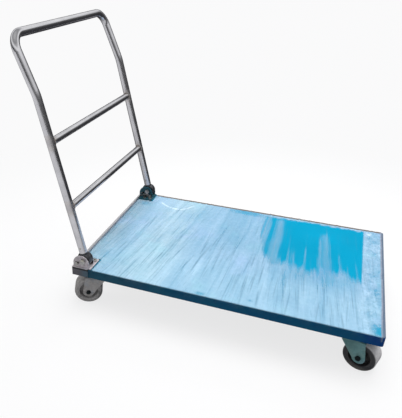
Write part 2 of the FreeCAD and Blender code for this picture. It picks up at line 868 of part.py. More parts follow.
# ----------------------------------------------------------------------------------
# Latch: a rod across both brackets behind the pivots, two end caps, and a spring and
# post at each bracket that pull the rod into the foot cams
# ----------------------------------------------------------------------------------
def latch_rod():
    rod = cylinder(
        size.latch_dia / 2, size.latch_half * 2,
        latch_x, -size.latch_half, latch_z, "y", "LatchRod",
    )
    piece(rod, "latch_rod")


def latch_caps():
    caps = []
    near = cheek_out + size.cap_gap
    for _, side in SIDES:
        cap = side_bar(
            cylinder, side, size.cap_rad, near, near + size.cap_thick,
            latch_x, latch_z, "Cap",
        )
        hole = side_bar(
            cylinder, side, size.latch_dia / 2 + size.tight_fit, near - 2.0,
            size.latch_half, latch_x, latch_z, "CapHole",
        )
        caps.append(cut(cap, [hole], "LatchCap"))
    group(caps, "latch_rod_caps")


def spring_posts():
    """Headed posts on the inner faces of the inner cheeks."""
    posts = []
    radius = size.post_dia / 2
    stem_end = cheek_in - size.post_len
    for _, side in SIDES:
        stem = side_bar(
            cylinder, side, radius, stem_end, cheek_in, post_x, post_z, "PostStem"
        )
        head = side_bar(
            cylinder, side, radius + size.post_head_step,
            stem_end - size.post_head_thick, stem_end, post_x, post_z, "PostHead",
        )
        posts.append(fuse([stem, head], "SpringPost"))
    group(posts, "spring_posts")


def latch_spring(name, side):
    """A coil with a loop round the rod and a loop round the post."""
    wire = size.spring_wire.value / 2
    coil_radius = size.spring_mean.value / 2
    rod_loop = size.latch_dia.value / 2 + size.loop_gap.value + wire
    post_loop = size.post_dia.value / 2 + size.loop_gap.value + wire
    slope = math.radians(size.post_drop.value)
    axis = Vector(math.cos(slope), 0, -math.sin(slope))
    y = (cheek_in - size.spring_in).value * side
    rod_at = Vector(latch_x.value, y, latch_z.value)
    post_at = Vector(post_x.value, y, post_z.value)
    start = rod_at + axis * (rod_loop + wire)
    end = post_at - axis * (post_loop + wire)

    # the coil is swept along +Z from the origin, then turned onto the spring's line
    length = (end - start).Length
    pitch = length / SPRING_TURNS
    helix = Part.makeHelix(pitch, length, coil_radius)
    tangent = Vector(0, coil_radius * 2 * math.pi, pitch)
    section = Part.Wire(Part.makeCircle(wire, Vector(coil_radius, 0, 0), tangent))
    coil = Part.Wire(helix.Edges).makePipeShell([section], True, True)
    coil.transformShape(Placement(start, Rotation(Vector(0, 0, 1), axis)).toMatrix())

    loops = [
        Part.makeTorus(radius, wire, centre, Vector(0, 1, 0))
        for centre, radius in ((rod_at, rod_loop), (post_at, post_loop))
    ]
    # small blocks join the coil's ends to the loops: start point, length
    blocks = []
    for block_start, block_len in ((start - axis * wire * 1.6, 2.2), (end - axis * 0.9, 2.0)):
        block = Part.makeBox(block_len, wire * 1.6, coil_radius * 2 + wire)
        centring = Placement(Vector(0, -wire * 0.8, -coil_radius - wire / 2), Rotation())
        block.Placement = Placement(
            block_start, Rotation(Vector(0, 1, 0), size.post_drop.value)
        ).multiply(centring)
        blocks.append(block)

    whole = loops[0].fuse([loops[1], coil] + blocks)
    # the plain fuse can leave loose solids, so it falls back on a tolerance
    if len(whole.Solids) != 1:
        whole = loops[0].fuse([loops[1], coil] + blocks, 0.01)
    solids = whole.Solids
    spring = doc.addObject("Part::Feature", fresh("Spring"))
    spring.Shape = solids[0] if len(solids) == 1 else Part.Compound(solids)
    piece(spring, "latch_spring_" + name)


# ----------------------------------------------------------------------------------
# Handle: one bent tube, two rungs coped to it, and a foot cam plugged in each end
# ----------------------------------------------------------------------------------
def leaning(degrees):
    """Unit vector up the handle, leaning back by this angle."""
    angle = math.radians(degrees)
    return Vector(-math.sin(angle), 0, math.cos(angle))


low_dir = leaning(lean.value)
high_dir = leaning(lean.value + size.crank.value)
tube_start = size.pivot_up / dcos(lean) + size.cam_neck


def upright_place(along):
    """x and z of a point on the uprights' centre lines, below the bend."""
    return -(size.upright_x + along * dsin(lean)), along * dcos(lean)


pin_x, pin_z = upright_place(tube_start + size.spigot_len / 2)


def on_upright(along, side, past=0.0):
    """A point on an upright's centre line, and past it above the bend."""
    foot = Vector(-size.upright_x.value, size.upright_y.value * side, 0)
    return foot + low_dir * along + high_dir * past


def bend(corner, dir_in, dir_out, radius):
    """Start, middle and end of the arc that rounds a corner."""
    angle = dir_in.getAngle(dir_out)
    setback = radius * math.tan(angle / 2)
    to_centre = (dir_out - dir_in).normalize()
    centre = corner + to_centre * (radius / math.cos(angle / 2))
    return corner - dir_in * setback, centre - to_centre * radius, corner + dir_out * setback


def handle_path():
    """The tube's centre line, from the right foot over the grip to the left foot."""
    bend_at = size.crank_at.value
    above = size.grip_at.value - bend_at
    crank_radius, grip_radius = size.crank_radius.value, size.grip_radius.value
    across = Vector(0, 1, 0)
    arcs = [
        bend(on_upright(bend_at, -1), low_dir, high_dir, crank_radius),
        bend(on_upright(bend_at, -1, above), high_dir, across, grip_radius),
        bend(on_upright(bend_at, 1, above), across, high_dir * -1, grip_radius),
        bend(on_upright(bend_at, 1), high_dir * -1, low_dir * -1, crank_radius),
    ]
    reached = on_upright(tube_start.value, -1)
    edges = []
    for start, middle, end in arcs:
        edges.append(Part.LineSegment(reached, start).toShape())
        edges.append(Part.Arc(start, middle, end).toShape())
        reached = end
    edges.append(Part.LineSegment(reached, on_upright(tube_start.value, 1)).toShape())
    path = doc.addObject("Part::Feature", "HandlePath")
    path.Shape = Part.Wire(edges)
    return path, ["Edge%d" % (i + 1) for i in range(len(edges))]


def swept(radius, spine, name):
    ring = doc.addObject("Part::Circle", fresh(name + "Profile"))
    bind(ring, "Radius", radius)
    ring.Placement = Placement(
        on_upright(tube_start.value, -1), Rotation(Vector(0, 0, 1), low_dir)
    )
    sweep = doc.addObject("Part::Sweep", fresh(name))
    sweep.Sections = [ring]
    sweep.Spine = spine
    sweep.Solid = True
    sweep.Frenet = False
    return sweep


def cam_pins(radius, length, name):
    """One bar along Y through each foot of the tube."""
    return [
        cylinder(
            radius, length, pin_x, size.upright_y * side - as_dim(length) / 2, pin_z,
            "y", name,
        )
        for _, side in SIDES
    ]


def handle_tube():
    spine = handle_path()
    outer = swept(size.tube_dia / 2, spine, "TubeOuter")
    bore = swept(size.tube_dia / 2 - size.tube_wall, spine, "TubeBore")
    pin_holes = cam_pins(size.pin_rad + size.nut_fit, 40.0, "PinHole")
    piece(cut(outer, [bore] + pin_holes, "HandleTube"), "handle_tube")


def rung(node, along):
    """A cross tube whose ends are hollowed to fit round the uprights."""
    x, z = upright_place(along)
    width = size.upright_y * 2
    outer = cylinder(size.rung_dia / 2, width, x, -size.upright_y, z, "y", "RungOuter")
    tools = [
        cylinder(
            size.rung_dia / 2 - size.rung_wall, width + PAST * 2,
            x, -size.upright_y - PAST, z, "y", "RungBore",
        )
    ]
    cope_half = 60.0
    for _, side in SIDES:
        cope = doc.addObject("Part::Cylinder", fresh("Cope"))
        bind(cope, "Radius", size.tube_dia / 2 + size.tight_fit)
        bind(cope, "Height", cope_half * 2)
        place(
            cope, x + cope_half * dsin(lean), size.upright_y * side,
            z - cope_half * dcos(lean), (0, -1, 0), lean,
        )
        tools.append(cope)
    piece(cut(outer, tools, "Rung"), node)


def cam_notch(body, turn):
    """A notch for the latch rod, open at the cam's rim in the direction of turn."""
    across = size.cam_wid + PAST * 2
    half = size.latch_dia / 2 + size.notch_fit
    near, far = size.latch_in, size.cam_radius + 3.0
    cos, sin = dcos(turn), dsin(turn)
    sketch = new_sketch(body, "XZ_Plane")
    circle(sketch, near * cos, near * sin, half)
    pocket(body, sketch, across, both=True)
    sketch = new_sketch(body, "XZ_Plane")
    outline(
        sketch,
        [
            (near * cos - half * sin, near * sin + half * cos),
            (far * cos - half * sin, far * sin + half * cos),
            (far * cos + half * sin, far * sin - half * cos),
            (near * cos + half * sin, near * sin - half * cos),
        ],
    )
    pocket(body, sketch, across, both=True)


def foot_cam(name, side):
    """Drawn with the tube upright over the pivot, then leaned back as a whole."""
    body = new_body("foot_cam_" + name)
    across = size.cam_wid + PAST * 2
    sketch = new_sketch(body, "XZ_Plane")
    circle(sketch, 0.0, 0.0, size.cam_radius)
    pad(body, sketch, size.cam_wid, both=True)
    sketch = new_sketch(body, "XY_Plane", size.cam_neck)
    circle(sketch, 0.0, 0.0, size.tube_dia / 2 - size.neck_step)
    pad(body, sketch, size.cam_neck - size.neck_root, reverse=True)
    sketch = new_sketch(body, "XY_Plane", size.cam_neck)
    circle(sketch, 0.0, 0.0, size.tube_dia / 2 - size.tube_wall - size.nut_fit)
    pad(body, sketch, size.spigot_len)
    # one notch holds the rod with the handle up, the other with it folded
    up_angle = 180.0 + size.latch_angle - lean
    cam_notch(body, up_angle)
    cam_notch(body, up_angle + size.fold_angle)
    # pivot bore, then the pin hole through the spigot
    for z, radius in (
        (0.0, size.pivot_bolt_dia / 2 + size.run_fit),
        (size.cam_neck + size.spigot_len / 2, size.pin_rad + size.nut_fit),
    ):
        sketch = new_sketch(body, "XZ_Plane")
        circle(sketch, 0.0, z, radius)
        pocket(body, sketch, across, both=True)
    place(body, pivot_x, size.upright_y * side, pivot_z, (0, -1, 0), lean)


# ----------------------------------------------------------------------------------
# Castors. Heights are taken from the floor. Each body is drawn round the kingpin, or
# round the wheel centre, and then placed; forks and wheels are turned to their heading.
# ----------------------------------------------------------------------------------
plate_top = size.castor_high
plate_under = plate_top - size.plate_thick
upper_race = size.ball_up + size.race_half_gap
lower_race = size.ball_up - size.race_half_gap
crown_low = size.crown_top - size.crown_thick
king_low = size.crown_top - size.king_drop
king_rad = size.kingpin_dia / 2
axle_z = size.wheel_dia / 2
leg_in = size.leg_gap / 2
leg_out = leg_in + size.crown_thick


class Castor:
    """Where one castor stands, which way it points, and where its wheel is."""

    def __init__(self, corner, x, y, side):
        self.corner = corner
        self.x, self.y = x, y
        self.heading = getattr(size, "swivel_" + corner)
        self.cos, self.sin = dcos(self.heading), dsin(self.heading)
        self.axle_x = x - size.trail * self.cos
        self.axle_y = y - size.trail * self.sin
        # direction along the axle that faces away from the trolley's centre line
        self.outward = 1.0 if side * self.cos.value > 0 else -1.0

    def place_wheel(self, body):
        place(body, self.axle_x, self.axle_y, floor + axle_z, (0, 0, 1), self.heading)


castors = [
    Castor(end + "_" + name, castor_x * sign, size.castor_y * side, side)
    for end, sign, castor_x in ENDS
    for name, side in SIDES
]


def race_groove(body):
    sketch = new_sketch(body, "XZ_Plane")
    circle(sketch, size.race_pitch, size.ball_up, size.groove_rad)
    groove(body, sketch)


def castor_plate(castor):
    """Top plate with its pressed upper race."""
    body = new_body("castor_plate_" + castor.corner)
    sketch = new_sketch(body, "XY_Plane", plate_under)
    centred_rectangle(sketch, size.plate_len / 2, size.plate_wid / 2)
    plate = pad(body, sketch, size.plate_thick)
    fillet(body, plate, upright_edges(plate.Shape), size.plate_corner)
    sketch = new_sketch(body, "XZ_Plane")
    outline(
        sketch,
        [
            (size.race_in, upper_race),
            (size.race_out - size.race_chamfer, upper_race),
            (size.race_out, upper_race + size.race_chamfer),
            (size.race_out, plate_under),
            (size.race_in, plate_under),
        ],
    )
    revolve(body, sketch)
    race_groove(body)
    # kingpin hole with a recess for its head
    hole = king_rad + size.tight_fit
    recess = size.king_head_rad + size.run_fit
    sketch = new_sketch(body, "XZ_Plane")
    outline(
        sketch,
        [
            (0.0, plate_under - PAST),
            (hole, plate_under - PAST),
            (hole, plate_top - size.king_head_high),
            (recess, plate_top - size.king_head_high),
            (recess, plate_top + PAST),
            (0.0, plate_top + PAST),
        ],
    )
    groove(body, sketch)
    sketch = new_sketch(body, "XY_Plane", plate_top)
    for x, y in plate_hole_places(0.0, 0.0):
        circle(sketch, x, y, size.plate_hole_dia / 2)
    pocket(body, sketch, size.plate_thick + 0.5)
    place(body, castor.x, castor.y, floor)


def kingpin(castor):
    x, y = castor.x, castor.y
    head_z = floor + plate_top - size.king_head_high
    rivet_z = floor + king_low - size.rivet_drop
    return fuse(
        [
            cylinder(size.king_head_rad, size.king_head_high, x, y, head_z, "z", "KingHead"),
            cylinder(king_rad, plate_top - king_low, x, y, floor + king_low, "z", "KingShaft"),
            cylinder(size.rivet_rad, size.rivet_high, x, y, rivet_z, "z", "KingRivet"),
        ],
        "Kingpin",
    )


def lower_washer(castor):
    """The washer that rests on the kingpin's rivet."""
    return bored(
        cylinder, size.king_washer_rad, size.king_washer_thick, king_rad + size.run_fit,
        castor.x, castor.y, floor + king_low - size.rivet_drop + size.rivet_high,
        "LowerWasher",
    )


def race_balls(castor):
    turns = [360.0 / RACE_BALLS * k for k in range(RACE_BALLS)]
    return [
        ball(
            size.ball_dia / 2,
            castor.x + size.race_pitch * dcos(turn),
            castor.y + size.race_pitch * dsin(turn),
            floor + size.ball_up,
            "RaceBall",
        )
        for turn in turns
    ]


def plate_bolt(x, y):
    head_top = floor + plate_under - size.washer_thick
    head = hexagon(
        size.bolt_head_rad, size.bolt_head_high,
        x, y, head_top - size.bolt_head_high, "z", "Head",
    )
    shank = cylinder(
        size.bolt_dia / 2, size.plate_shank, x, y, head_top - OVERLAP, "z", "Shank"
    )
    return fuse([head, shank], "PlateBolt")


def plate_washer(x, y):
    return bored(
        cylinder, size.washer_rad, size.washer_thick, size.bolt_dia / 2 + size.washer_fit,
        x, y, floor + plate_under - size.washer_thick, "PlateWasher",
    )


def plate_nut(x, y):
    """A weld nut on the floor of the castor channel."""
    return bored(
        hexagon, size.bolt_head_rad, size.nut_high, size.bolt_dia / 2 + size.nut_fit,
        x, y, deck_under + size.channel_sheet, "PlateNut",
    )


def trim_fork_legs(body, leg_low):
    """Cuts away all that lies outside the side view of the tapering legs."""
    sketch = new_sketch(body, "XZ_Plane")
    rectangle(sketch, -90.0, 60.0, leg_low - 6.0, 130.0)
    front = size.fork_front - size.fork_trim
    side_view = [
        (front, 125.0),
        (-size.fork_back, 125.0),
        (-size.fork_back, size.crown_top - size.edge_back),
    ]
    # the rounded end of the leg, in straight facets round the axle
    for step in range(9):
        turn = 170.0 + 22.0 * step
        side_view.append(
            (size.leg_end * dcos(turn) - size.trail, axle_z + size.leg_end * dsin(turn))
        )
    side_view.append((front, size.crown_top - size.edge_front))
    outline(sketch, side_view)
    pocket(body, sketch, 100.0, both=True)


def castor_fork(castor):
    """A bent sheet saddle with tapering legs, and the pressed lower race on top."""
    body = new_body("castor_fork_" + castor.corner)
    leg_low = axle_z - size.leg_end - 4.0
    sketch = new_sketch(body, "YZ_Plane", size.fork_front)
    outline(
        sketch,
        mirrored([
            (leg_in, crown_low),
            (leg_in, leg_low),
            (leg_out, leg_low),
            (leg_out, size.crown_top),
        ]),
    )
    saddle = pad(body, sketch, size.fork_front + size.trail + 20.0, reverse=True)
    outer_edges = runs_along_x(saddle.Shape, leg_out, size.crown_top)
    saddle = fillet(body, saddle, outer_edges, size.crown_round)
    inner_edges = runs_along_x(saddle.Shape, leg_in, crown_low)
    fillet(body, saddle, inner_edges, size.crown_fillet)
    trim_fork_legs(body, leg_low)

    hole = king_rad + size.turn_fit
    slant = 2.0  # sloping corners of the race, lower outside and upper inside
    sketch = new_sketch(body, "XZ_Plane")
    outline(
        sketch,
        [
            (hole, crown_low),
            (size.race_out - slant, crown_low),
            (size.race_out, crown_low + slant),
            (size.race_out, lower_race - size.race_chamfer),
            (size.race_out - size.race_chamfer, lower_race),
            (size.race_in, lower_race),
            (size.race_in - slant, size.crown_top),
            (hole, size.crown_top),
        ],
    )
    revolve(body, sketch)
    race_groove(body)
    sketch = new_sketch(body, "XY_Plane", crown_low - PAST)
    circle(sketch, 0.0, 0.0, hole)
    pocket(body, sketch, 6.0, reverse=True)
    sketch = new_sketch(body, "XZ_Plane")
    circle(sketch, -size.trail, axle_z, size.axle_dia / 2 + size.run_fit)
    pocket(body, sketch, 100.0, both=True)
    place(body, castor.x, castor.y, floor, (0, 0, 1), castor.heading)


def axle_bar(castor, shape, radius, near, far, name):
    """A cylinder or hexagon on the axle line, between two distances outwards from the
    wheel centre."""
    start, length = span(castor.outward, near, far)
    x = castor.axle_x - start * castor.sin
    y = castor.axle_y + start * castor.cos
    z = floor + axle_z
    bar = shape(radius, length, x, y, z, "z", name)
    turn = Rotation(Vector(0, 0, 1), castor.heading.value).multiply(
        Rotation(Vector(1, 0, 0), -90.0)
    )
    bar.Placement = Placement(Vector(x.value, y.value, z.value), turn)
    bind_base(bar, x, y, z)
    return bar


def axle(castor):
    """Bolt with its head outwards, nut, and the sleeve the wheel runs on."""
    radius = size.axle_dia / 2
    head = axle_bar(
        castor, hexagon, size.bolt_head_rad, leg_out, leg_out + size.bolt_head_high, "Head"
    )
    shank = axle_bar(
        castor, cylinder, radius, -(leg_out + size.axle_tail), leg_out + OVERLAP, "Shank"
    )
    piece(fuse([head, shank], "AxleBolt"), "axle_bolt_" + castor.corner)

    nut_end = leg_out + size.nut_high
    nut = axle_bar(castor, hexagon, size.bolt_head_rad, -nut_end, -leg_out, "Nut")
    hole = axle_bar(
        castor, cylinder, radius + size.nut_fit, -(nut_end + 2.0), -(leg_out - 2.0),
        "NutHole",
    )
    piece(cut(nut, [hole], "AxleNut"), "axle_nut_" + castor.corner)

    half = leg_in - size.sleeve_play
    sleeve = axle_bar(castor, cylinder, size.sleeve_dia / 2, -half, half, "Sleeve")
    bore = axle_bar(
        castor, cylinder, radius + size.run_fit, -(leg_in + PAST), leg_in + PAST,
        "SleeveBore",
    )
    piece(cut(sleeve, [bore], "AxleSleeve"), "axle_sleeve_" + castor.corner)


def wheel_centre(castor):
    """Hub, web with a stepped face, and rim."""
    body = new_body("wheel_centre_" + castor.corner)
    hub, web = size.hub_wid / 2, size.web_half
    rim = size.tyre_wid / 2 - size.rim_inset
    # distance from the wheel's middle plane, radius
    half_section = [
        (hub, size.sleeve_dia / 2 + size.turn_fit),
        (hub, 11.0),
        (hub - 1.0, 12.0),
        (web + 3.0, 14.0),
        (web, 16.0),
        (web, size.tyre_inner - 7.5),
        (web + 2.0, size.tyre_inner - 5.5),
        (rim, size.tyre_inner - 4.0),
        (rim, size.tyre_inner - size.tight_fit),
    ]
    sketch = new_sketch(body, "YZ_Plane")
    outline(sketch, mirrored(half_section))
    revolve(body, sketch, "H_Axis")
    castor.place_wheel(body)


def tyre(castor):
    """Tyre with rounded shoulders."""
    body = new_body("tyre_" + castor.corner)
    half, outer = size.tyre_wid / 2, size.wheel_dia / 2
    # distance from the wheel's middle plane, radius
    half_section = [
        (half - 1.0, size.tyre_inner),
        (half, size.tyre_inner + 1.5),
        (half, outer),
    ]
    sketch = new_sketch(body, "YZ_Plane")
    outline(sketch, mirrored(half_section))
    blank = revolve(body, sketch, "H_Axis")
    shoulders = edges_where(
        blank.Shape,
        lambda edge: hasattr(edge.Curve, "Radius")
        and abs(edge.Curve.Radius - outer.value) < 1e-6,
    )
    fillet(body, blank, shoulders, size.tyre_round)
    castor.place_wheel(body)


# ----------------------------------------------------------------------------------
# Build
# ----------------------------------------------------------------------------------
deck_pan()
for end, sign, castor_x in ENDS:
    castor_channel(end, castor_x * sign)
centre_channel()
deck_ribs()
film_wrap()

for name, side in SIDES:
    handle_bracket(name, side)
bracket_fasteners()
pivot_fasteners()

latch_rod()
latch_caps()
spring_posts()
for name, side in SIDES:
    latch_spring(name, side)

handle_tube()
rung("lower_rung", size.rung_low)
rung("upper_rung", size.rung_high)
for name, side in SIDES:
    foot_cam(name, side)
group(cam_pins(size.pin_rad, size.pin_len, "CamPin"), "foot_cam_pins")

for castor in castors:
    castor_plate(castor)
    castor_fork(castor)
    axle(castor)
    wheel_centre(castor)
    tyre(castor)
bolt_places = [place_xy for c in castors for place_xy in plate_hole_places(c.x, c.y)]
group([kingpin(castor) for castor in castors], "castor_kingpins")
group([lower_washer(castor) for castor in castors], "castor_lower_washers")
group([one for castor in castors for one in race_balls(castor)], "swivel_race_balls")
group([plate_bolt(x, y) for x, y in bolt_places], "castor_plate_bolts")
group([plate_washer(x, y) for x, y in bolt_places], "castor_plate_washers")
group([plate_nut(x, y) for x, y in bolt_places], "castor_weld_nuts")

# ----------------------------------------------------------------------------------
# Recompute, check every object, and write one file per piece
# ----------------------------------------------------------------------------------
doc.recompute()
failed = [
    "%s (%s)" % (obj.Name, obj.Label)
    for obj in doc.Objects
    if "Invalid" in obj.State or "Error" in obj.State
]
if failed:
    raise RuntimeError("failed objects: " + ", ".join(failed))
for node, obj in pieces.items():
    shape = obj.Shape
    if shape.isNull() or not shape.isValid() or not shape.Solids:
        raise RuntimeError("piece %s has no valid solid" % node)
    if any(solid.Volume <= 0 for solid in shape.Solids):
        raise RuntimeError("piece %s has a solid with no volume" % node)

os.makedirs("parts", exist_ok=True)
for node, obj in sorted(pieces.items()):
    obj.Shape.exportStep(os.path.join("parts", node + ".step"))
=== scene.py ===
"""Flatbed trolley: a blue deck wrapped in thin film, four castors and a chrome push handle.

The deck lies level with its length along x. The handle stands at the rear (-x) and leans
back. Right is -y and left is +y. The top of the deck is close to z = 0, the floor is below.
"""

import json
import math

import bpy
import numpy as np
from mathutils import Matrix, Vector


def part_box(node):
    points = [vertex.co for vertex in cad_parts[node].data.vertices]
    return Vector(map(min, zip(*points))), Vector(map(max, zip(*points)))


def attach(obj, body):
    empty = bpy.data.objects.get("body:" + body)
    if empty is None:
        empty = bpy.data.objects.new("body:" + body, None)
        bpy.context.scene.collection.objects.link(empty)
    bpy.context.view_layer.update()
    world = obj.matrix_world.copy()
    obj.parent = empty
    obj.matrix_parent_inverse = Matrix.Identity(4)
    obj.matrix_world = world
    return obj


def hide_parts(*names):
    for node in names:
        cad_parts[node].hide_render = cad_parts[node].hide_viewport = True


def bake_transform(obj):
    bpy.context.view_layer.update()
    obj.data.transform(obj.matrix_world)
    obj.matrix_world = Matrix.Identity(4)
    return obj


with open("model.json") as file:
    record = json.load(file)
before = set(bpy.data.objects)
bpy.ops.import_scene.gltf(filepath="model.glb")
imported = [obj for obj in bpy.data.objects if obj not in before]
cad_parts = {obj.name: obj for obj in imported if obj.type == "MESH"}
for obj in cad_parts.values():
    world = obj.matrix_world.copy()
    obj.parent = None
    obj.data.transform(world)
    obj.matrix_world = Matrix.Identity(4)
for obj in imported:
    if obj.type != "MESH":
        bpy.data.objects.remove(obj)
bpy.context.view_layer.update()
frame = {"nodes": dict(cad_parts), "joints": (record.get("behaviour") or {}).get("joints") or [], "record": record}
nodes = frame["nodes"]
joints = {joint["name"]: joint for joint in frame["joints"]}
scene = bpy.context.scene

SIDES = ((-1, "right"), (1, "left"))
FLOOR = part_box("tyre_front_right")[0].z
DECK_LO, DECK_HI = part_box("deck_pan")
DECK_TOP = DECK_HI.z
HALF_LENGTH, HALF_WIDTH = 0.450, 0.300  # of the deck, along x and y

# handle tubes
LEAN = math.radians(13.95)
UP = Vector((-math.sin(LEAN), 0, math.cos(LEAN)))  # along the uprights
BACK = Vector((-math.cos(LEAN), 0, -math.sin(LEAN)))  # square to them, rearward
TUBE_R, RUNG_R = 0.0127, 0.0111
TUBE_Y = 0.2823  # uprights from the centre line


def rung_welds():
    """Where the rungs meet the uprights: centre of the upright there, side and name."""
    welds = []
    for level in ("lower", "upper"):
        lo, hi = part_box(level + "_rung")
        centre = (lo + hi) / 2
        for side, hand in SIDES:
            welds.append((Vector((centre.x, TUBE_Y * side, centre.z)), side, f"{level}_{hand}"))
    return welds


WELDS = rung_welds()


# ---------------------------------------------------------------------------------
# shader building
# ---------------------------------------------------------------------------------
class Signal:
    """An output socket. Arithmetic and blends on it add nodes to its net."""

    def __init__(self, net, socket):
        self.net = net
        self.socket = socket

    def __add__(self, other):
        return self.net.math("ADD", self, other)

    def __radd__(self, other):
        return self.net.math("ADD", other, self)

    def __sub__(self, other):
        return self.net.math("SUBTRACT", self, other)

    def __rsub__(self, other):
        return self.net.math("SUBTRACT", other, self)

    def __mul__(self, other):
        return self.net.math("MULTIPLY", self, other)

    def __abs__(self):
        return self.net.math("ABSOLUTE", self)

    def max(self, other):
        return self.net.math("MAXIMUM", self, other)

    def min(self, other):
        return self.net.math("MINIMUM", self, other)

    def ramp(self, over, to=(0.0, 1.0)):
        """Clamped smooth step from to[0] at over[0] to to[1] at over[1]."""
        return self.net.node("ShaderNodeMapRange", dict(enumerate((self, *over, *to))),
                             clamp=True, interpolation_type="SMOOTHSTEP")

    def pick(self, at0, at1):
        """A number between at0 and at1, with this signal as the factor."""
        return self.net.node("ShaderNodeMix", {0: self, 2: at0, 3: at1}, data_type="FLOAT")

    def tint(self, at0, at1):
        """A colour between at0 and at1, with this signal as the factor."""
        return self.net.node("ShaderNodeMix", {0: self, 6: at0, 7: at1}, output=2,
                             data_type="RGBA", blend_type="MIX")

    def coat(self, colour, mask, share=None):
        """This colour with another laid over it where the mask is 1, at a share of its strength."""
        factor = mask if share is None else mask * share
        return factor.tint(self, colour)


class Net:
    """The node tree of one new material or world. Textures read object coordinates."""

    def __init__(self, name, kind="materials"):
        self.owner = getattr(bpy.data, kind).new(name)
        self.owner.use_nodes = True
        self.tree = self.owner.node_tree
        self.tree.nodes.clear()
        self.coords = None

    def new(self, kind, **props):
        node = self.tree.nodes.new(kind)
        for key, value in props.items():
            setattr(node, key, value)
        return node

    def put(self, socket, value):
        if isinstance(value, Signal):
            self.tree.links.new(value.socket, socket)
            return
        if hasattr(value, "__len__") and len(value) == 3 and len(socket.default_value) == 4:
            value = (*value, 1.0)
        socket.default_value = value

    def node(self, kind, inputs, output=0, **props):
        """Make a node, fill its inputs and return one of its outputs."""
        node = self.new(kind, **props)
        for key, value in inputs.items():
            self.put(node.inputs[key], value)
        return Signal(self, node.outputs[output])

    def co(self):
        if self.coords is None:
            self.coords = self.node("ShaderNodeTexCoord", {}, "Object")
        return self.coords

    def mapped(self, scale, rot=(0, 0, 0), loc=(0, 0, 0)):
        return self.node("ShaderNodeMapping", {
            "Vector": self.co(), "Location": loc, "Rotation": rot, "Scale": scale})

    def noise(self, scale, detail=3.0, rough=0.55, distort=0.0, at=None):
        return self.node("ShaderNodeTexNoise", {
            "Vector": at or self.co(), "Scale": scale, "Detail": detail,
            "Roughness": rough, "Distortion": distort}, "Fac")

    def voronoi(self, scale, output):
        inputs = {"Vector": self.co(), "Scale": scale}
        return self.node("ShaderNodeTexVoronoi", inputs, output, feature="F1")

    def math(self, operation, *values, clamp=False):
        return self.node("ShaderNodeMath", dict(enumerate(values)),
                         operation=operation, use_clamp=clamp)

    def vector(self, operation, *values):
        output = "Vector" if operation == "SUBTRACT" else "Value"
        return self.node("ShaderNodeVectorMath", dict(enumerate(values)), output,
                         operation=operation)

    def xyz(self, vector=None):
        node = self.new("ShaderNodeSeparateXYZ")
        self.put(node.inputs[0], vector or self.co())
        return [Signal(self, socket) for socket in node.outputs]

    def join(self, x, y, z):
        return self.node("ShaderNodeCombineXYZ", {0: x, 1: y, 2: z})

    def normal_z(self):
        return self.xyz(self.node("ShaderNodeNewGeometry", {}, "Normal"))[2]

    def attr(self, name):
        return self.node("ShaderNodeAttribute", {}, "Fac", attribute_name=name)

    def rays(self):
        """Signals that are 1 for camera rays and for glossy rays."""
        node = self.new("ShaderNodeLightPath")
        return [Signal(self, node.outputs[f"Is {kind} Ray"]) for kind in ("Camera", "Glossy")]

    def bump(self, height, depth, strength, under=None):
        inputs = {"Height": height, "Distance": depth, "Strength": strength}
        if under is not None:
            inputs["Normal"] = under
        return self.node("ShaderNodeBump", inputs)

    def mix_shader(self, factor, at0, at1):
        return self.node("ShaderNodeMixShader", {0: factor, 1: at0, 2: at1})

    def principled(self, **values):
        inputs = {key.replace("_", " "): value for key, value in values.items()}
        return self.node("ShaderNodeBsdfPrincipled", inputs)

    def finish(self, shader, kind="Material"):
        self.put(self.new("ShaderNodeOutput" + kind).inputs[0], shader)
        return self.owner

    def surface(self, **values):
        return self.finish(self.principled(**values))


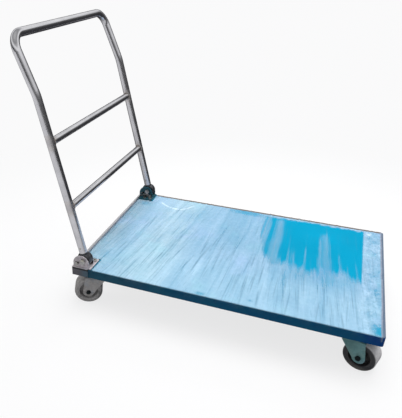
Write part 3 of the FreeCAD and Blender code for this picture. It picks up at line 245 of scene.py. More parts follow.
# ---------------------------------------------------------------------------------
# materials
# ---------------------------------------------------------------------------------
def deck_paint():
    """Sky-blue powder coat: orange peel, thin scratches, edge chips, dust and grime, painted shadow round the
    handle brackets and flanges darkened partly by painted shade.
    """
    net = Net("deck_paint")
    x, y, z = net.xyz()
    facing = net.normal_z()
    base = net.noise(scale=4.0, detail=4.0, rough=0.6).ramp(over=(0.3, 0.7)).tint(
        at0=(0.0, 0.225, 0.375), at1=(0.0, 0.250, 0.415))
    upright = abs(facing).ramp(over=(0.35, 0.75), to=(1.0, 0.0))
    # grey strip along both ends of the top
    strip = abs(x).ramp(over=(0.4425, 0.4438)) * (1.0 - upright)
    base = base.coat((0.115, 0.130, 0.175), strip, share=0.9)
    # painted shadow of the handle brackets: dark rear corners round them
    corner = x.ramp(over=(-0.384, -0.392)) * abs(y).ramp(over=(0.222, 0.232))
    base = base.coat((0.030, 0.070, 0.095), corner * (1.0 - upright), share=0.88)
    # flanges: darker, partly as painted shade on the upright faces, going from navy at the rear to a deep blue at
    # the front
    flange = x.ramp(over=(-0.42, 0.05)).tint(at0=(0.020, 0.100, 0.165), at1=(0.001, 0.100, 0.235))
    flange = flange.coat((0.0, 0.060, 0.270), x.ramp(over=(0.36, 0.43)))
    mottle = net.noise(scale=18.0, detail=4.0).ramp(over=(0.40, 0.7))
    flange = flange.coat((0.002, 0.150, 0.24), mottle, share=0.4)
    base = base.coat(flange, upright)
    # thin rubbed scratches in two directions
    fields = []
    for rot, loc, scale in (((0, 0, 0.35), (0, 0, 0), 420), ((0, 0, -0.9), (3, 1, 0), 520)):
        stretched = net.mapped(scale=(scale, 9, scale), rot=rot, loc=loc)
        lines = net.noise(scale=1.0, detail=2.0, rough=0.5, at=stretched)
        fields.append(lines.ramp(over=(0.70, 0.74)))
    scratch = fields[0].max(fields[1])
    scratch = scratch * net.noise(scale=9.0, detail=2.0).ramp(over=(0.5, 0.62))
    base = base.coat((0.10, 0.38, 0.55), scratch, share=upright.pick(at0=0.30, at1=0.10))
    # chips to grey steel along the outer edges
    inward = (HALF_LENGTH - abs(x)).min(HALF_WIDTH - abs(y))
    low = abs(z - DECK_LO.z)
    high = abs(z - DECK_TOP)
    rim = (inward.max(0.0) + low.min(high)).ramp(over=(0.0, 0.0045), to=(1.0, 0.0))
    chip = rim * 0.22 + net.noise(scale=230.0, detail=5.0, rough=0.65)
    chip = chip.ramp(over=(0.78, 0.80))
    base = base.coat((0.075, 0.07, 0.068), chip)
    # dust on what faces up, grime on what faces down
    dust = net.noise(scale=14.0, detail=6.0, rough=0.7).ramp(over=(0.42, 0.75))
    dust = facing.ramp(over=(0.3, 0.95)) * dust
    base = base.coat((0.45, 0.44, 0.42), dust, share=0.004)
    grime = net.noise(scale=22.0, detail=6.0, rough=0.7).ramp(over=(0.35, 0.7))
    grime = facing.ramp(over=(-0.9, -0.2), to=(1.0, 0.0)) * grime
    base = base.coat((0.05, 0.06, 0.065), grime, share=0.35)
    rough = net.noise(scale=30.0).pick(at0=0.26, at1=0.42) + dust.max(grime) * 0.22
    rough = chip.pick(at0=rough, at1=0.6)
    peel = net.bump(net.noise(scale=620.0, detail=2.0, rough=0.5), depth=0.00006, strength=0.55)
    dent = net.bump(net.noise(scale=11.0, detail=2.0, rough=0.5),
                    depth=0.0008, strength=0.35, under=peel)
    nick = net.bump(chip.max(scratch) * -1.0, depth=0.00012, strength=0.7, under=dent)
    return net.surface(Base_Color=base, Roughness=rough, Normal=nick,
                       Specular_IOR_Level=upright.pick(at0=0.004, at1=0.14))


def film_material():
    """Thin clear polythene: milky over air, clear where it clings, with drawn streaks."""
    net = Net("film")
    haze, drawn, edge = net.attr("haze"), net.attr("streak_u"), net.attr("edge")
    x, y, _ = net.xyz()
    # coordinates that stretch noise into streaks across the deck
    flow = net.join(drawn * 1.0, y * 0.035, 0.0)
    slow = net.join(drawn * 1.0, y * 0.09, 4.0)
    fine = net.noise(scale=420.0, detail=4.0, rough=0.6, at=flow)
    broad = net.noise(scale=75.0, at=slow)
    cloud = net.noise(scale=7.0, detail=5.0, rough=0.6)
    near = y.ramp(over=(0.24, -0.05))
    dark = net.noise(scale=190.0, rough=0.6, at=slow).ramp(over=(0.575, 0.70))
    dark = dark * near.pick(at0=0.25, at1=1.0)
    pale = net.noise(scale=260.0, rough=0.6, at=slow).ramp(over=(0.60, 0.74))
    # opacity; each factor is how strongly that streak shows
    streak = ((fine - 0.5) * 0.12 + (broad - 0.5) * 0.18 + (cloud - 0.5) * 0.24
              + (pale * 0.06 - dark * 0.07))
    streak = streak * haze.ramp(over=(0.02, 0.45), to=(0.12, 1.0))
    amount = net.math("ADD", haze, streak, clamp=True)
    amount = amount * amount.ramp(over=(0.0, 0.16), to=(0.25, 1.0))
    alpha = amount.max(0.003).min(0.93)
    # bluish tints: a broad zone in the rear half, clouds, then the rear end
    tint = abs(x + 0.25).ramp(over=(0.03, 0.13)).tint(
        at0=(0.430, 0.600, 0.715), at1=(0.350, 0.530, 0.700))
    tint = tint.coat((0.385, 0.545, 0.750), cloud.ramp(over=(0.48, 0.72)), share=0.30)
    tint = tint.coat((0.32, 0.420, 0.490), x.ramp(over=(-0.345, -0.425), to=(0.0, 0.75)))
    patch = net.noise(scale=11.0, detail=4.0).ramp(over=(0.52, 0.66))
    patch = patch * x.ramp(over=(-0.10, -0.30), to=(0.0, 0.35))
    tint = tint.coat((0.28, 0.51, 0.62), patch)
    # drift to violet and to green
    hue = net.noise(scale=5.2, detail=4.0, rough=0.6, distort=0.3)
    tint = tint.coat((0.415, 0.540, 0.810), hue.ramp(over=(0.54, 0.72), to=(0.0, 0.55)))
    tint = tint.coat((0.400, 0.690, 0.790), hue.ramp(over=(0.46, 0.30), to=(0.0, 0.50)))
    tint = tint.coat((0.52, 0.68, 0.80), pale, share=0.25)
    # the right-hand side is brighter
    tint = tint.coat((0.57, 0.86, 1.0), y.ramp(over=(-0.04, -0.19), to=(0.04, 0.26)))
    # dark drawn lines, then thin and thick haze
    tint = tint.coat((0.135, 0.235, 0.310), net.attr("stroke"), share=0.85)
    tint = tint.coat((0.18, 0.34, 0.47), dark, share=0.22)
    tint = tint.coat((0.25, 0.50, 0.66), haze.ramp(over=(0.46, 0.30), to=(0.0, 0.12)))
    tint = tint.coat((0.60, 0.74, 0.84), haze.ramp(over=(0.74, 0.88)))
    # darker edge, brown on the long side and grey at the front end
    rim = x.ramp(over=(0.435, 0.439)).tint(at0=(0.125, 0.105, 0.095), at1=(0.185, 0.185, 0.240))
    tint = tint.coat(rim, edge)
    alpha = edge.pick(at0=alpha, at1=0.92)
    # reflections see it greyer and more opaque
    tint = tint.coat((0.46, 0.445, 0.50), net.rays()[1], share=0.80)
    alpha = alpha.max(net.rays()[1] * 0.70)
    pull = net.bump(net.noise(scale=300.0, detail=4.0, rough=0.6, at=flow),
                    depth=0.0006, strength=0.45)
    cockle = net.bump(net.noise(scale=75.0, detail=4.0, rough=0.6, distort=0.6),
                      depth=0.0012, strength=0.30, under=pull)
    return net.surface(
        Base_Color=tint, Alpha=alpha, Normal=cockle, IOR=1.5,
        Roughness=net.noise(scale=60.0).pick(at0=0.18, at1=0.36),
        Specular_IOR_Level=haze.ramp(over=(0.05, 0.4), to=(0.02, 0.20)))


def chrome():
    """Polished tube: cloudy wipe marks, turned lines, pits, and heat tint beside the welds."""
    net = Net("chrome_tube")
    place = net.co()
    smear = net.noise(scale=16.0, detail=5.0, rough=0.62, distort=0.4)
    fine = net.noise(scale=130.0, detail=4.0, rough=0.6)
    line_pitch = 2600.0
    along = net.vector("DOT_PRODUCT", place, tuple(UP))
    lines = net.noise(scale=1.0, detail=2.0, rough=0.5,
                      at=net.join(along * line_pitch, net.xyz()[1] * line_pitch, 0.0))
    base = smear.ramp(over=(0.3, 0.72)).tint(at0=(0.60, 0.60, 0.62), at1=(0.76, 0.76, 0.78))
    pits = net.voronoi(scale=260.0, output="Distance").ramp(over=(0.05, 0.11), to=(1.0, 0.0))
    pits = pits * net.noise(scale=24.0).ramp(over=(0.54, 0.66))
    base = base.coat((0.16, 0.12, 0.09), pits, share=0.75)
    # straw and blue heat tint, by distance from the nearest weld
    near = None
    for centre, _, _ in WELDS:
        distance = net.vector("DISTANCE", place, tuple(centre))
        near = distance if near is None else near.min(distance)
    wobble = near + (fine - 0.5) * 0.012
    straw = wobble.ramp(over=(0.016, 0.034), to=(1.0, 0.0))
    blue = wobble.ramp(over=(0.014, 0.020), to=(1.0, 0.0)) * 0.8
    base = base.coat((0.58, 0.47, 0.34), straw, share=0.22)
    base = base.coat((0.34, 0.37, 0.46), blue, share=0.22)
    rough = smear.pick(at0=0.10, at1=0.26) + straw * 0.14 + (fine - 0.5) * 0.08
    relief = net.bump(lines, depth=0.00001, strength=0.35)
    relief = net.bump(fine, depth=0.00006, strength=0.25, under=relief)
    relief = net.bump(pits, depth=0.00012, strength=-0.5, under=relief)
    return net.surface(Base_Color=base, Metallic=1.0, Roughness=rough, Normal=relief)


def bracket_painted_shade(net, base, metal, skirt):
    """Darken a bracket with painted shade: its skirt over the flange, its inner faces and the line where it folds.
    """
    z = net.xyz()[2]
    # painted shade on the skirt below the deck top, teal towards its front
    below = z.ramp(over=(DECK_TOP + 0.0014, DECK_TOP - 0.0010))
    tone = net.xyz()[0].ramp(over=(-0.438, -0.408)).tint(at0=skirt, at1=(0.020, 0.085, 0.130))
    base = base.coat(tone, below, share=0.9)
    # painted shade on the inner faces between the cheeks
    aside = abs(abs(net.xyz()[1]) - TUBE_Y)
    inner = aside.ramp(over=(0.0142, 0.0136)) * z.ramp(over=(DECK_TOP + 0.004, DECK_TOP + 0.007))
    base = base.coat((0.010, 0.012, 0.016), inner, share=0.92)
    # painted shade along the fold line, broken up by noise
    line = z.ramp(over=(DECK_TOP - 0.0068, DECK_TOP - 0.0045)) * below
    line = line * net.noise(scale=60.0).ramp(over=(0.25, 0.45))
    base = base.coat((0.004, 0.004, 0.005), line)
    return base, metal * (1.0 - below * 0.6)


def zinc(name, dark=(0.36, 0.38, 0.385), light=(0.60, 0.615, 0.61), smoothest=0.24,
         roughest=0.46, shine=1.0, grime=0.45, skirt=None):
    """Zinc plate: soft spangle, faint yellow and blue passivation, white bloom and dirt."""
    net = Net(name)
    grain = net.xyz(net.voronoi(scale=170.0, output="Color"))[0]
    cloud = net.noise(scale=24.0, detail=5.0, rough=0.65)
    spangle = grain * 0.35 + cloud.ramp(over=(0.3, 0.7)) * 0.65
    base = spangle.tint(at0=dark, at1=light)
    hue = net.noise(scale=38.0, rough=0.5)
    base = base.coat((0.62, 0.57, 0.36), hue.ramp(over=(0.52, 0.70)),
                     share=0.30 if shine > 0.9 else 0.08)
    base = base.coat((0.36, 0.47, 0.60), hue.ramp(over=(0.48, 0.32)), share=0.26)
    bloom = net.noise(scale=120.0, detail=6.0, rough=0.75).ramp(over=(0.60, 0.74))
    base = base.coat((0.72, 0.72, 0.70), bloom, share=0.35)
    dirt = net.noise(scale=55.0, detail=6.0, rough=0.7).ramp(over=(0.56, 0.74))
    base = base.coat((0.10, 0.085, 0.07), dirt, share=grime)
    metal = (1.0 - bloom.max(dirt) * 0.45) * shine
    # a skirt colour adds painted shade to a bracket
    if skirt is not None:
        base, metal = bracket_painted_shade(net, base, metal, skirt)
    rough = spangle.pick(at0=roughest, at1=smoothest) + bloom.max(dirt) * 0.2
    drawing = net.mapped(scale=(700, 700, 60), rot=(0.2, 0.1, 0))
    relief = net.bump(net.noise(scale=1.0, detail=2.0, at=drawing), depth=0.00003, strength=0.35)
    relief = net.bump(net.noise(scale=210.0, detail=4.0),
                      depth=0.00008, strength=0.4, under=relief)
    return net.surface(Base_Color=base, Metallic=metal, Roughness=rough, Normal=relief)


def turned_relief(net):
    """Turning marks round z with a fine grain over them, for bolts."""
    marks = net.noise(scale=1.0, detail=2.0, at=net.mapped(scale=(300, 300, 3000)))
    turned = net.bump(marks, depth=0.00002, strength=0.35)
    return net.bump(net.noise(scale=520.0), depth=0.00005, strength=0.4, under=turned)


def bolt_steel():
    """Zinc bolts with gold passivation and specks of rust."""
    net = Net("zinc_bolt")
    cloud = net.noise(scale=140.0, detail=5.0, rough=0.65)
    base = cloud.ramp(over=(0.3, 0.7)).tint(at0=(0.33, 0.33, 0.32), at1=(0.58, 0.58, 0.56))
    gold = net.noise(scale=60.0).ramp(over=(0.5, 0.7))
    base = base.coat((0.60, 0.52, 0.30), gold, share=0.35)
    rust = net.noise(scale=260.0, detail=6.0, rough=0.75).ramp(over=(0.63, 0.70))
    base = base.coat((0.16, 0.065, 0.025), rust, share=0.7)
    return net.surface(Base_Color=base, Metallic=1.0 - rust * 0.8, Normal=turned_relief(net),
                       Roughness=cloud.pick(at0=0.40, at1=0.24) + rust * 0.3)


def oiled_bolt():
    """Axle bolts blackened by oil and road dirt."""
    net = Net("axle_bolt_oiled")
    cloud = net.noise(scale=160.0, detail=5.0, rough=0.65)
    base = cloud.ramp(over=(0.3, 0.7)).tint(at0=(0.003, 0.006, 0.008), at1=(0.014, 0.022, 0.026))
    dirt = net.noise(scale=240.0, detail=5.0, rough=0.7).ramp(over=(0.66, 0.76))
    base = base.coat((0.06, 0.06, 0.06), dirt)
    return net.surface(Base_Color=base, Metallic=0.1, Roughness=cloud.pick(at0=0.45, at1=0.65),
                       Normal=turned_relief(net), Specular_IOR_Level=0.12)


def blue_plate(name):
    """Dull blue-green, partly painted shade and a painted reflection of the blue deck, with a painted highlight
    that makes it paler towards the front end.
    """
    net = Net(name)
    x = net.xyz()[0]
    cloud = net.noise(scale=40.0, detail=5.0, rough=0.65)
    base = cloud.ramp(over=(0.3, 0.7)).tint(at0=(0.012, 0.070, 0.100), at1=(0.028, 0.115, 0.150))
    # painted highlight: paler towards the front end
    worn = net.noise(scale=90.0, detail=4.0).ramp(over=(0.30, 0.50))
    base = base.coat((0.21, 0.36, 0.50), x.ramp(over=(0.398, 0.408)) * worn, share=0.85)
    dirt = net.noise(scale=75.0, detail=6.0, rough=0.7).ramp(over=(0.56, 0.72))
    base = base.coat((0.020, 0.030, 0.035), dirt, share=0.4)
    relief = net.bump(net.noise(scale=240.0, detail=4.0), depth=0.00008, strength=0.4)
    return net.surface(Base_Color=base, Metallic=0.3, Normal=relief,
                       Roughness=cloud.pick(at0=0.32, at1=0.5))


def cam_steel():
    """Dark oiled steel with mill lines and brown stains."""
    net = Net("cam_steel")
    mill = net.noise(scale=1.0, rough=0.6, at=net.mapped(scale=(90, 2400, 90)))
    oil = net.noise(scale=70.0, detail=4.0, rough=0.6)
    base = oil.ramp(over=(0.35, 0.7)).tint(at0=(0.030, 0.032, 0.038), at1=(0.100, 0.104, 0.112))
    stain = net.noise(scale=190.0, detail=5.0).ramp(over=(0.6, 0.72))
    base = base.coat((0.12, 0.07, 0.04), stain, share=0.5)
    return net.surface(Base_Color=base, Metallic=0.55, Roughness=oil.pick(at0=0.22, at1=0.44),
                       Normal=net.bump(mill, depth=0.00004, strength=0.45))


def spring_steel():
    """Bright mottled wire."""
    net = Net("spring_steel")
    base = net.noise(scale=300.0).tint(at0=(0.30, 0.30, 0.31), at1=(0.58, 0.57, 0.54))
    relief = net.bump(net.noise(scale=900.0, detail=2.0), depth=0.00003, strength=0.4)
    return net.surface(Base_Color=base, Metallic=1.0, Normal=relief,
                       Roughness=net.noise(scale=200.0).pick(at0=0.2, at1=0.45))


def ball_steel():
    """Bright balls smeared with brown grease."""
    net = Net("ball_steel")
    grease = net.noise(scale=160.0, detail=4.0).ramp(over=(0.45, 0.6))
    base = grease.tint(at0=(0.62, 0.62, 0.64), at1=(0.12, 0.085, 0.04))
    relief = net.bump(net.noise(scale=300.0), depth=0.00006, strength=0.4)
    return net.surface(Base_Color=base, Metallic=1.0 - grease, Normal=relief,
                       Roughness=grease.pick(at0=0.12, at1=0.4))


# how strong the veil over each castor is: dust, and on rear_right also painted light
VEIL_SHARE = {"rear_right": 0.85, "front_right": 0.22, "front_left": 0.35, "rear_left": 0.5}


def dust_and_light_veil(net, corner):
    """Mask and colour of the veil over one castor's wheel: dust, and on rear_right a pale tone that is also
    painted light.
    """
    veil = net.noise(scale=26.0, detail=5.0, rough=0.65).ramp(over=(0.25, 0.62))
    tone = (0.78, 0.765, 0.76) if corner == "rear_right" else (0.20, 0.185, 0.175)
    return veil * VEIL_SHARE[corner], tone


def wheel_frame(net, corner):
    """Axle direction, then offset from the wheel's centre, its level and upright parts, radius."""
    joint = joints["wheel_spin_" + corner]
    axle = Vector(joint["axis"]).normalized()
    level = axle.cross(Vector((0, 0, 1)))
    offset = net.vector("SUBTRACT", net.co(), tuple(joint["pos_m"]))
    across = net.vector("DOT_PRODUCT", offset, tuple(level))
    rise = net.xyz(offset)[2]
    radius = net.math("SQRT", across * across + rise * rise)
    return axle, offset, across, rise, radius


def tyre(corner):
    """Solid rubber: scuffed dusty tread, mould rings on the wall, and a parting line; on front_right, painted
    shade on the wall and a painted highlight on the tread.
    """
    net = Net("tyre_rubber_" + corner)
    axle, offset, _, _, radius = wheel_frame(net, corner)
    along = net.vector("DOT_PRODUCT", offset, tuple(axle))
    coarse = net.noise(scale=38.0, detail=5.0, rough=0.65)
    fine = net.noise(scale=330.0, detail=5.0, rough=0.7)
    wall_mask, tread_mask = coarse.ramp(over=(0.3, 0.7)), fine.ramp(over=(0.3, 0.7))
    if corner == "front_right":
        # painted shade darkens the wall, which turns lighter near the floor; the pale tread is dust and a painted
        # highlight
        wall = wall_mask.tint(at0=(0.007, 0.010, 0.016), at1=(0.032, 0.038, 0.048))
        low = net.xyz()[2].ramp(over=(FLOOR + 0.024, FLOOR + 0.006))
        wall = wall.coat((0.135, 0.128, 0.115), low, share=0.7)
        tread = tread_mask.tint(at0=(0.600, 0.595, 0.610), at1=(0.860, 0.850, 0.870))
    else:
        wall = wall_mask.tint(at0=(0.045, 0.043, 0.042), at1=(0.085, 0.080, 0.076))
        tread = tread_mask.tint(at0=(0.150, 0.146, 0.142), at1=(0.300, 0.294, 0.285))
    worn = radius.ramp(over=(0.0416, 0.0446))
    base = worn.tint(at0=wall, at1=tread)
    specks = net.noise(scale=700.0).ramp(over=(0.62, 0.68))
    base = base.coat((0.36, 0.34, 0.31), specks, share=0.12 + worn * 0.4)
    # veil: dust, on rear_right also painted light
    veil, veil_tone = dust_and_light_veil(net, corner)
    rubbed = radius.ramp(over=(0.0450, 0.0405), to=(0.45, 1.0))
    base = base.coat(veil_tone, veil * rubbed, share=0.85)
    scuff = net.noise(scale=90.0, detail=5.0, rough=0.7).ramp(over=(0.58, 0.70))
    scuff = scuff * radius.ramp(over=(0.0365, 0.0415))
    base = base.coat((0.24, 0.22, 0.20), scuff, share=0.35)
    outer_ring = abs(radius - 0.0388).ramp(over=(0.0004, 0.0011), to=(1.0, 0.0))
    inner_ring = abs(radius - 0.0360).ramp(over=(0.0003, 0.0008), to=(1.0, 0.0))
    parting = abs(along).ramp(over=(0.0002, 0.0007), to=(1.0, 0.0))
    parting = parting * radius.ramp(over=(0.0440, 0.0447))
    relief = net.bump(outer_ring + inner_ring * 0.6 + parting * 0.7, depth=0.0005, strength=0.8)
    relief = net.bump(fine, depth=worn.pick(at0=0.00010, at1=0.00035), strength=0.6, under=relief)
    relief = net.bump(coarse, depth=0.0006, strength=0.25, under=relief)
    rough = worn.pick(at0=0.52, at1=0.78) + (coarse - 0.5) * 0.2
    return net.surface(Base_Color=base, Roughness=rough, Normal=relief, Specular_IOR_Level=0.42)


def wheel_core(corner):
    """Moulded wheel centre: radial ribs on the web, fine mould texture, dusty recesses."""
    net = Net("wheel_core_" + corner)
    _, _, across, rise, radius = wheel_frame(net, corner)
    angle = net.math("ARCTAN2", rise, across)
    coarse = net.noise(scale=55.0, detail=4.0, rough=0.6)
    base = coarse.ramp(over=(0.3, 0.7)).tint(at0=(0.020, 0.021, 0.026), at1=(0.042, 0.043, 0.050))
    web = radius.ramp(over=(0.0155, 0.0175)) * radius.ramp(over=(0.027, 0.025))
    ribs = abs(net.math("SINE", angle * 5.0)).ramp(over=(0.90, 0.97)) * web
    dust = web * net.noise(scale=80.0, detail=5.0, rough=0.7).ramp(over=(0.45, 0.7))
    base = base.coat((0.23, 0.21, 0.19), dust, share=0.32)
    # veil: dust, on rear_right also painted light
    veil, veil_tone = dust_and_light_veil(net, corner)
    base = base.coat(veil_tone, veil, share=0.9)
    relief = net.bump(ribs, depth=0.0016, strength=0.9)
    relief = net.bump(net.noise(scale=600.0), depth=0.00006, strength=0.5, under=relief)
    rough = coarse.pick(at0=0.34, at1=0.5) + dust * 0.3
    return net.surface(Base_Color=base, Roughness=rough, Normal=relief)


def bare_weld(name, tone):
    """Bare weld metal, mottled up to nearly twice its tone, with brown patches."""
    net = Net(name)
    cloud = net.noise(scale=420.0, detail=4.0, rough=0.65)
    base = cloud.tint(at0=tone, at1=tuple(min(1.0, part * 1.9) for part in tone))
    patches = net.noise(scale=170.0, detail=4.0).ramp(over=(0.52, 0.7))
    base = base.coat((0.20, 0.13, 0.08), patches)
    relief = net.bump(net.noise(scale=800.0), depth=0.0001, strength=0.5)
    return net.surface(Base_Color=base, Metallic=0.9, Normal=relief,
                       Roughness=cloud.pick(at0=0.28, at1=0.5))


def painted_weld():
    net = Net("weld_paint")
    base = net.noise(scale=90.0, detail=4.0).tint(at0=(0.004, 0.20, 0.38), at1=(0.006, 0.27, 0.47))
    relief = net.bump(net.noise(scale=500.0), depth=0.00012, strength=0.5)
    return net.surface(Base_Color=base, Normal=relief, Coat_Weight=0.2,
                       Roughness=net.noise(scale=60.0).pick(at0=0.3, at1=0.5))


SLOT_MATERIALS = {
    "deck_paint": deck_paint(),
    "zinc": zinc("zinc"),
    "zinc_bolt": bolt_steel(),
    "chrome_tube": chrome(),
    "cam_steel": cam_steel(),
    "spring_steel": spring_steel(),
    "ball_steel": ball_steel(),
    "film": film_material(),
}
# forks: the teal in this zinc is a painted reflection of the blue deck
FORK = zinc("fork_zinc", dark=(0.125, 0.285, 0.295), light=(0.215, 0.425, 0.435),
            smoothest=0.34, roughest=0.55, shine=0.35, grime=0.45)
# pieces that differ from the rest of their slot
NODE_MATERIALS = {
    # rear right fork: paler grey, dust and partly painted light
    "castor_fork_rear_right": zinc(
        "fork_zinc_dusty", dark=(0.42, 0.41, 0.40), light=(0.68, 0.665, 0.66),
        smoothest=0.45, roughest=0.65, shine=0.12, grime=0.6),
    # the near bracket; its skirt colour is painted shade
    "handle_bracket_right": zinc(
        "bracket_zinc", dark=(0.46, 0.425, 0.455), light=(0.76, 0.715, 0.755),
        smoothest=0.26, roughest=0.45, shine=0.35, grime=0.40, skirt=(0.070, 0.072, 0.090)),
    # the far bracket: partly painted shade and a painted reflection of the blue deck
    "handle_bracket_left": blue_plate("bracket_blue_far"),
}
AXLE_BOLT = oiled_bolt()
# the near castor plate: partly painted shade and a painted reflection of the blue deck
NODE_MATERIALS["castor_plate_front_right"] = blue_plate("castor_plate_near")
slot_of = {part["node"]: part["material_slot"] for part in frame["record"]["subparts"]}


def material_for(name):
    slot = slot_of[name]
    if slot == "tyre_rubber":
        return tyre(name.replace("tyre_", ""))
    if slot == "wheel_core":
        return wheel_core(name.replace("wheel_centre_", ""))
    if name.startswith("axle_bolt_"):
        return AXLE_BOLT
    if name in NODE_MATERIALS:
        return NODE_MATERIALS[name]
    if name.startswith("castor_fork_"):
        return FORK
    return SLOT_MATERIALS[slot]


for name, node in nodes.items():
    material = material_for(name)
    if not node.material_slots:
        node.data.materials.append(material)
    for slot in node.material_slots:
        slot.material = material


# ---------------------------------------------------------------------------------
# mesh helpers
# ---------------------------------------------------------------------------------
def mesh_object(name, verts, faces, material):
    mesh = bpy.data.meshes.new(name)
    mesh.from_pydata([tuple(map(float, vert)) for vert in verts], [], faces)
    mesh.update()
    mesh.polygons.foreach_set("use_smooth", [True] * len(mesh.polygons))
    obj = bpy.data.objects.new(name, mesh)
    scene.collection.objects.link(obj)
    mesh.materials.append(material)
    return obj


def unit(vector):
    return vector / np.linalg.norm(vector)


def sweep(path, radii, closed, sides, up=(0, 0, 1)):
    """Vertices and faces of a round bead along a path of points."""
    path = np.asarray(path, float)
    count = len(path)
    if closed:
        tangent = np.roll(path, -1, 0) - np.roll(path, 1, 0)
    else:
        tangent = np.gradient(path, axis=0)
    tangent /= np.linalg.norm(tangent, axis=1)[:, None]
    # carry one normal along the path without twist
    start = np.asarray(up, float)
    normals = [unit(start - tangent[0] * (start @ tangent[0]))]
    for i in range(1, count):
        normals.append(unit(normals[-1] - tangent[i] * (normals[-1] @ tangent[i])))
    normals = np.array(normals)
    if closed:
        # spread the mismatch at the seam over the whole loop
        last = unit(normals[-1] - tangent[0] * (normals[-1] @ tangent[0]))
        twist = math.atan2(last @ np.cross(tangent[0], normals[0]), last @ normals[0])
        for i in range(count):
            angle = -twist * i / count
            sideways = np.cross(tangent[i], normals[i])
            normals[i] = normals[i] * math.cos(angle) + sideways * math.sin(angle)
    binormal = np.cross(tangent, normals)
    verts, faces = [], []
    for i in range(count):
        for k in range(sides):
            angle = 2 * math.pi * k / sides
            spoke = normals[i] * math.cos(angle) + binormal[i] * math.sin(angle)
            verts.append(path[i] + radii[i] * spoke)
    for i in range(count if closed else count - 1):
        j = (i + 1) % count
        for k in range(sides):
            m = (k + 1) % sides
            faces.append((i * sides + k, i * sides + m, j * sides + m, j * sides + k))
    if not closed:
        faces.append(tuple(range(sides))[::-1])
        faces.append(tuple((count - 1) * sides + k for k in range(sides)))
    return verts, faces


def merge(parts):
    verts, faces = [], []
    for part_verts, part_faces in parts:
        base = len(verts)
        verts.extend(part_verts)
        faces.extend(tuple(i + base for i in face) for face in part_faces)
    return verts, faces


# ---------------------------------------------------------------------------------
# weld beads where the rungs meet the uprights
# ---------------------------------------------------------------------------------
RING_POINTS, RING_R, RING_RIPPLES = 96, 0.0019, 26
RING_GAP, RING_SPREAD = 0.0003, 0.0004  # off the upright, and out from the rung
ring_random = np.random.default_rng(41)
ring_material = bare_weld("weld_steel", tone=(0.30, 0.28, 0.26))


def rung_weld(centre, side, name):
    """A rippled ring that follows the saddle between rung and upright."""
    points, radii = [], []
    for k in range(RING_POINTS):
        angle = 2 * math.pi * k / RING_POINTS
        back = RUNG_R * math.sin(angle)
        inward = math.sqrt(TUBE_R ** 2 - back ** 2) + RING_GAP
        point = centre + UP * (RUNG_R * math.cos(angle)) + BACK * back
        point -= Vector((0, side, 0)) * inward
        spread = (UP * math.cos(angle) + BACK * math.sin(angle)) * RING_SPREAD
        points.append(tuple(point + spread))
        ripple = 0.16 * math.sin(angle * RING_RIPPLES)
        radii.append(RING_R * (1 + ripple + 0.05 * ring_random.standard_normal()))
    verts, faces = sweep(points, radii, closed=True, sides=10)
    obj = mesh_object("rung_weld_" + name, verts, faces, ring_material)
    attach(obj, "handle")


for weld in WELDS:
    rung_weld(*weld)


# ---------------------------------------------------------------------------------
# straight weld beads on the brackets and under the deck
# ---------------------------------------------------------------------------------
def bead(start, end, radius, seed, sides=8, ripple=0.0022):
    """A straight bead whose thickness ripples along its length."""
    start, end = np.array(start, float), np.array(end, float)
    length = np.linalg.norm(end - start)
    count = max(6, int(length / (ripple / 3)))
    share = np.linspace(0, 1, count)
    jitter = np.random.default_rng(seed).normal(0, radius * 0.04, (count, 3))
    points = start + (end - start) * share[:, None] + jitter
    radii = radius * (1 + 0.15 * np.sin(2 * math.pi * share * length / ripple))
    radii[0] *= 0.5
    radii[-1] *= 0.5
    return sweep(points, radii, closed=False, sides=sides)


def bracket_beads():
    """Three beads along x at the foot of each bracket's cheeks."""
    cheek = 0.0134  # cheek face from the upright's centre
    off = 0.0003  # bead centre off the faces it joins
    z = DECK_TOP + 0.003 + off
    front = -0.4005
    lines = (TUBE_Y - cheek + off, TUBE_Y + cheek - off, TUBE_Y - cheek - 0.004 - off)
    parts = []
    for side, hand in SIDES:
        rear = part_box("handle_bracket_" + hand)[0].x + 0.003
        for k, y in enumerate(lines):
            parts.append(bead((rear, side * y, z), (front, side * y, z),
                              radius=0.0010, seed=50 + k + side))
    verts, faces = merge(parts)
    material = bare_weld("weld_zinc", tone=(0.34, 0.34, 0.33))
    obj = mesh_object("bracket_weld_beads", verts, faces, material)
    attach(obj, "deck")


def stitch_welds():
    """Short beads that join the channels and ribs to the underside of the deck sheet."""
    z = DECK_TOP - 0.002 - 0.0004
    parts = []
    seed = 90
    for channel in ("castor_channel_front", "castor_channel_rear", "centre_channel"):
        lo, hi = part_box(channel)
        for x in (lo.x, hi.x):
            for y in np.linspace(-0.26, 0.22, 5):
                seed += 1
                parts.append(bead((x, y, z), (x, y + 0.04, z), radius=0.0019, seed=seed,
                                  sides=7, ripple=0.003))
    rib_y, rib_half = 0.115, 0.017
    for end in (-1, 1):
        for side in (-1, 1):
            for edge in (-rib_half, rib_half):
                y = side * rib_y + edge
                for x in (0.07, 0.19, 0.29):
                    seed += 1
                    parts.append(bead((end * x, y, z), (end * (x + 0.03), y, z),
                                      radius=0.0017, seed=seed, sides=7, ripple=0.003))
    verts, faces = merge(parts)
    obj = mesh_object("under_deck_stitch_welds", verts, faces, painted_weld())
    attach(obj, "deck")


bracket_beads()
stitch_welds()


# ---------------------------------------------------------------------------------
# latch springs: close coils from the latch rod to the spring posts
# ---------------------------------------------------------------------------------
WIRE_R, COIL_R = 0.0006, 0.0027
ROD_EYE = 0.004 + 0.0001 + WIRE_R  # rod radius, clearance and wire
POST_EYE = 0.0025 + 0.0001 + WIRE_R
NECK = 0.0022  # between an eye and the coils
TURNS, TURN_STEPS = 14, 22


def mid_xz(name):
    lo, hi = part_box(name)
    return (lo.x + hi.x) / 2, (lo.z + hi.z) / 2


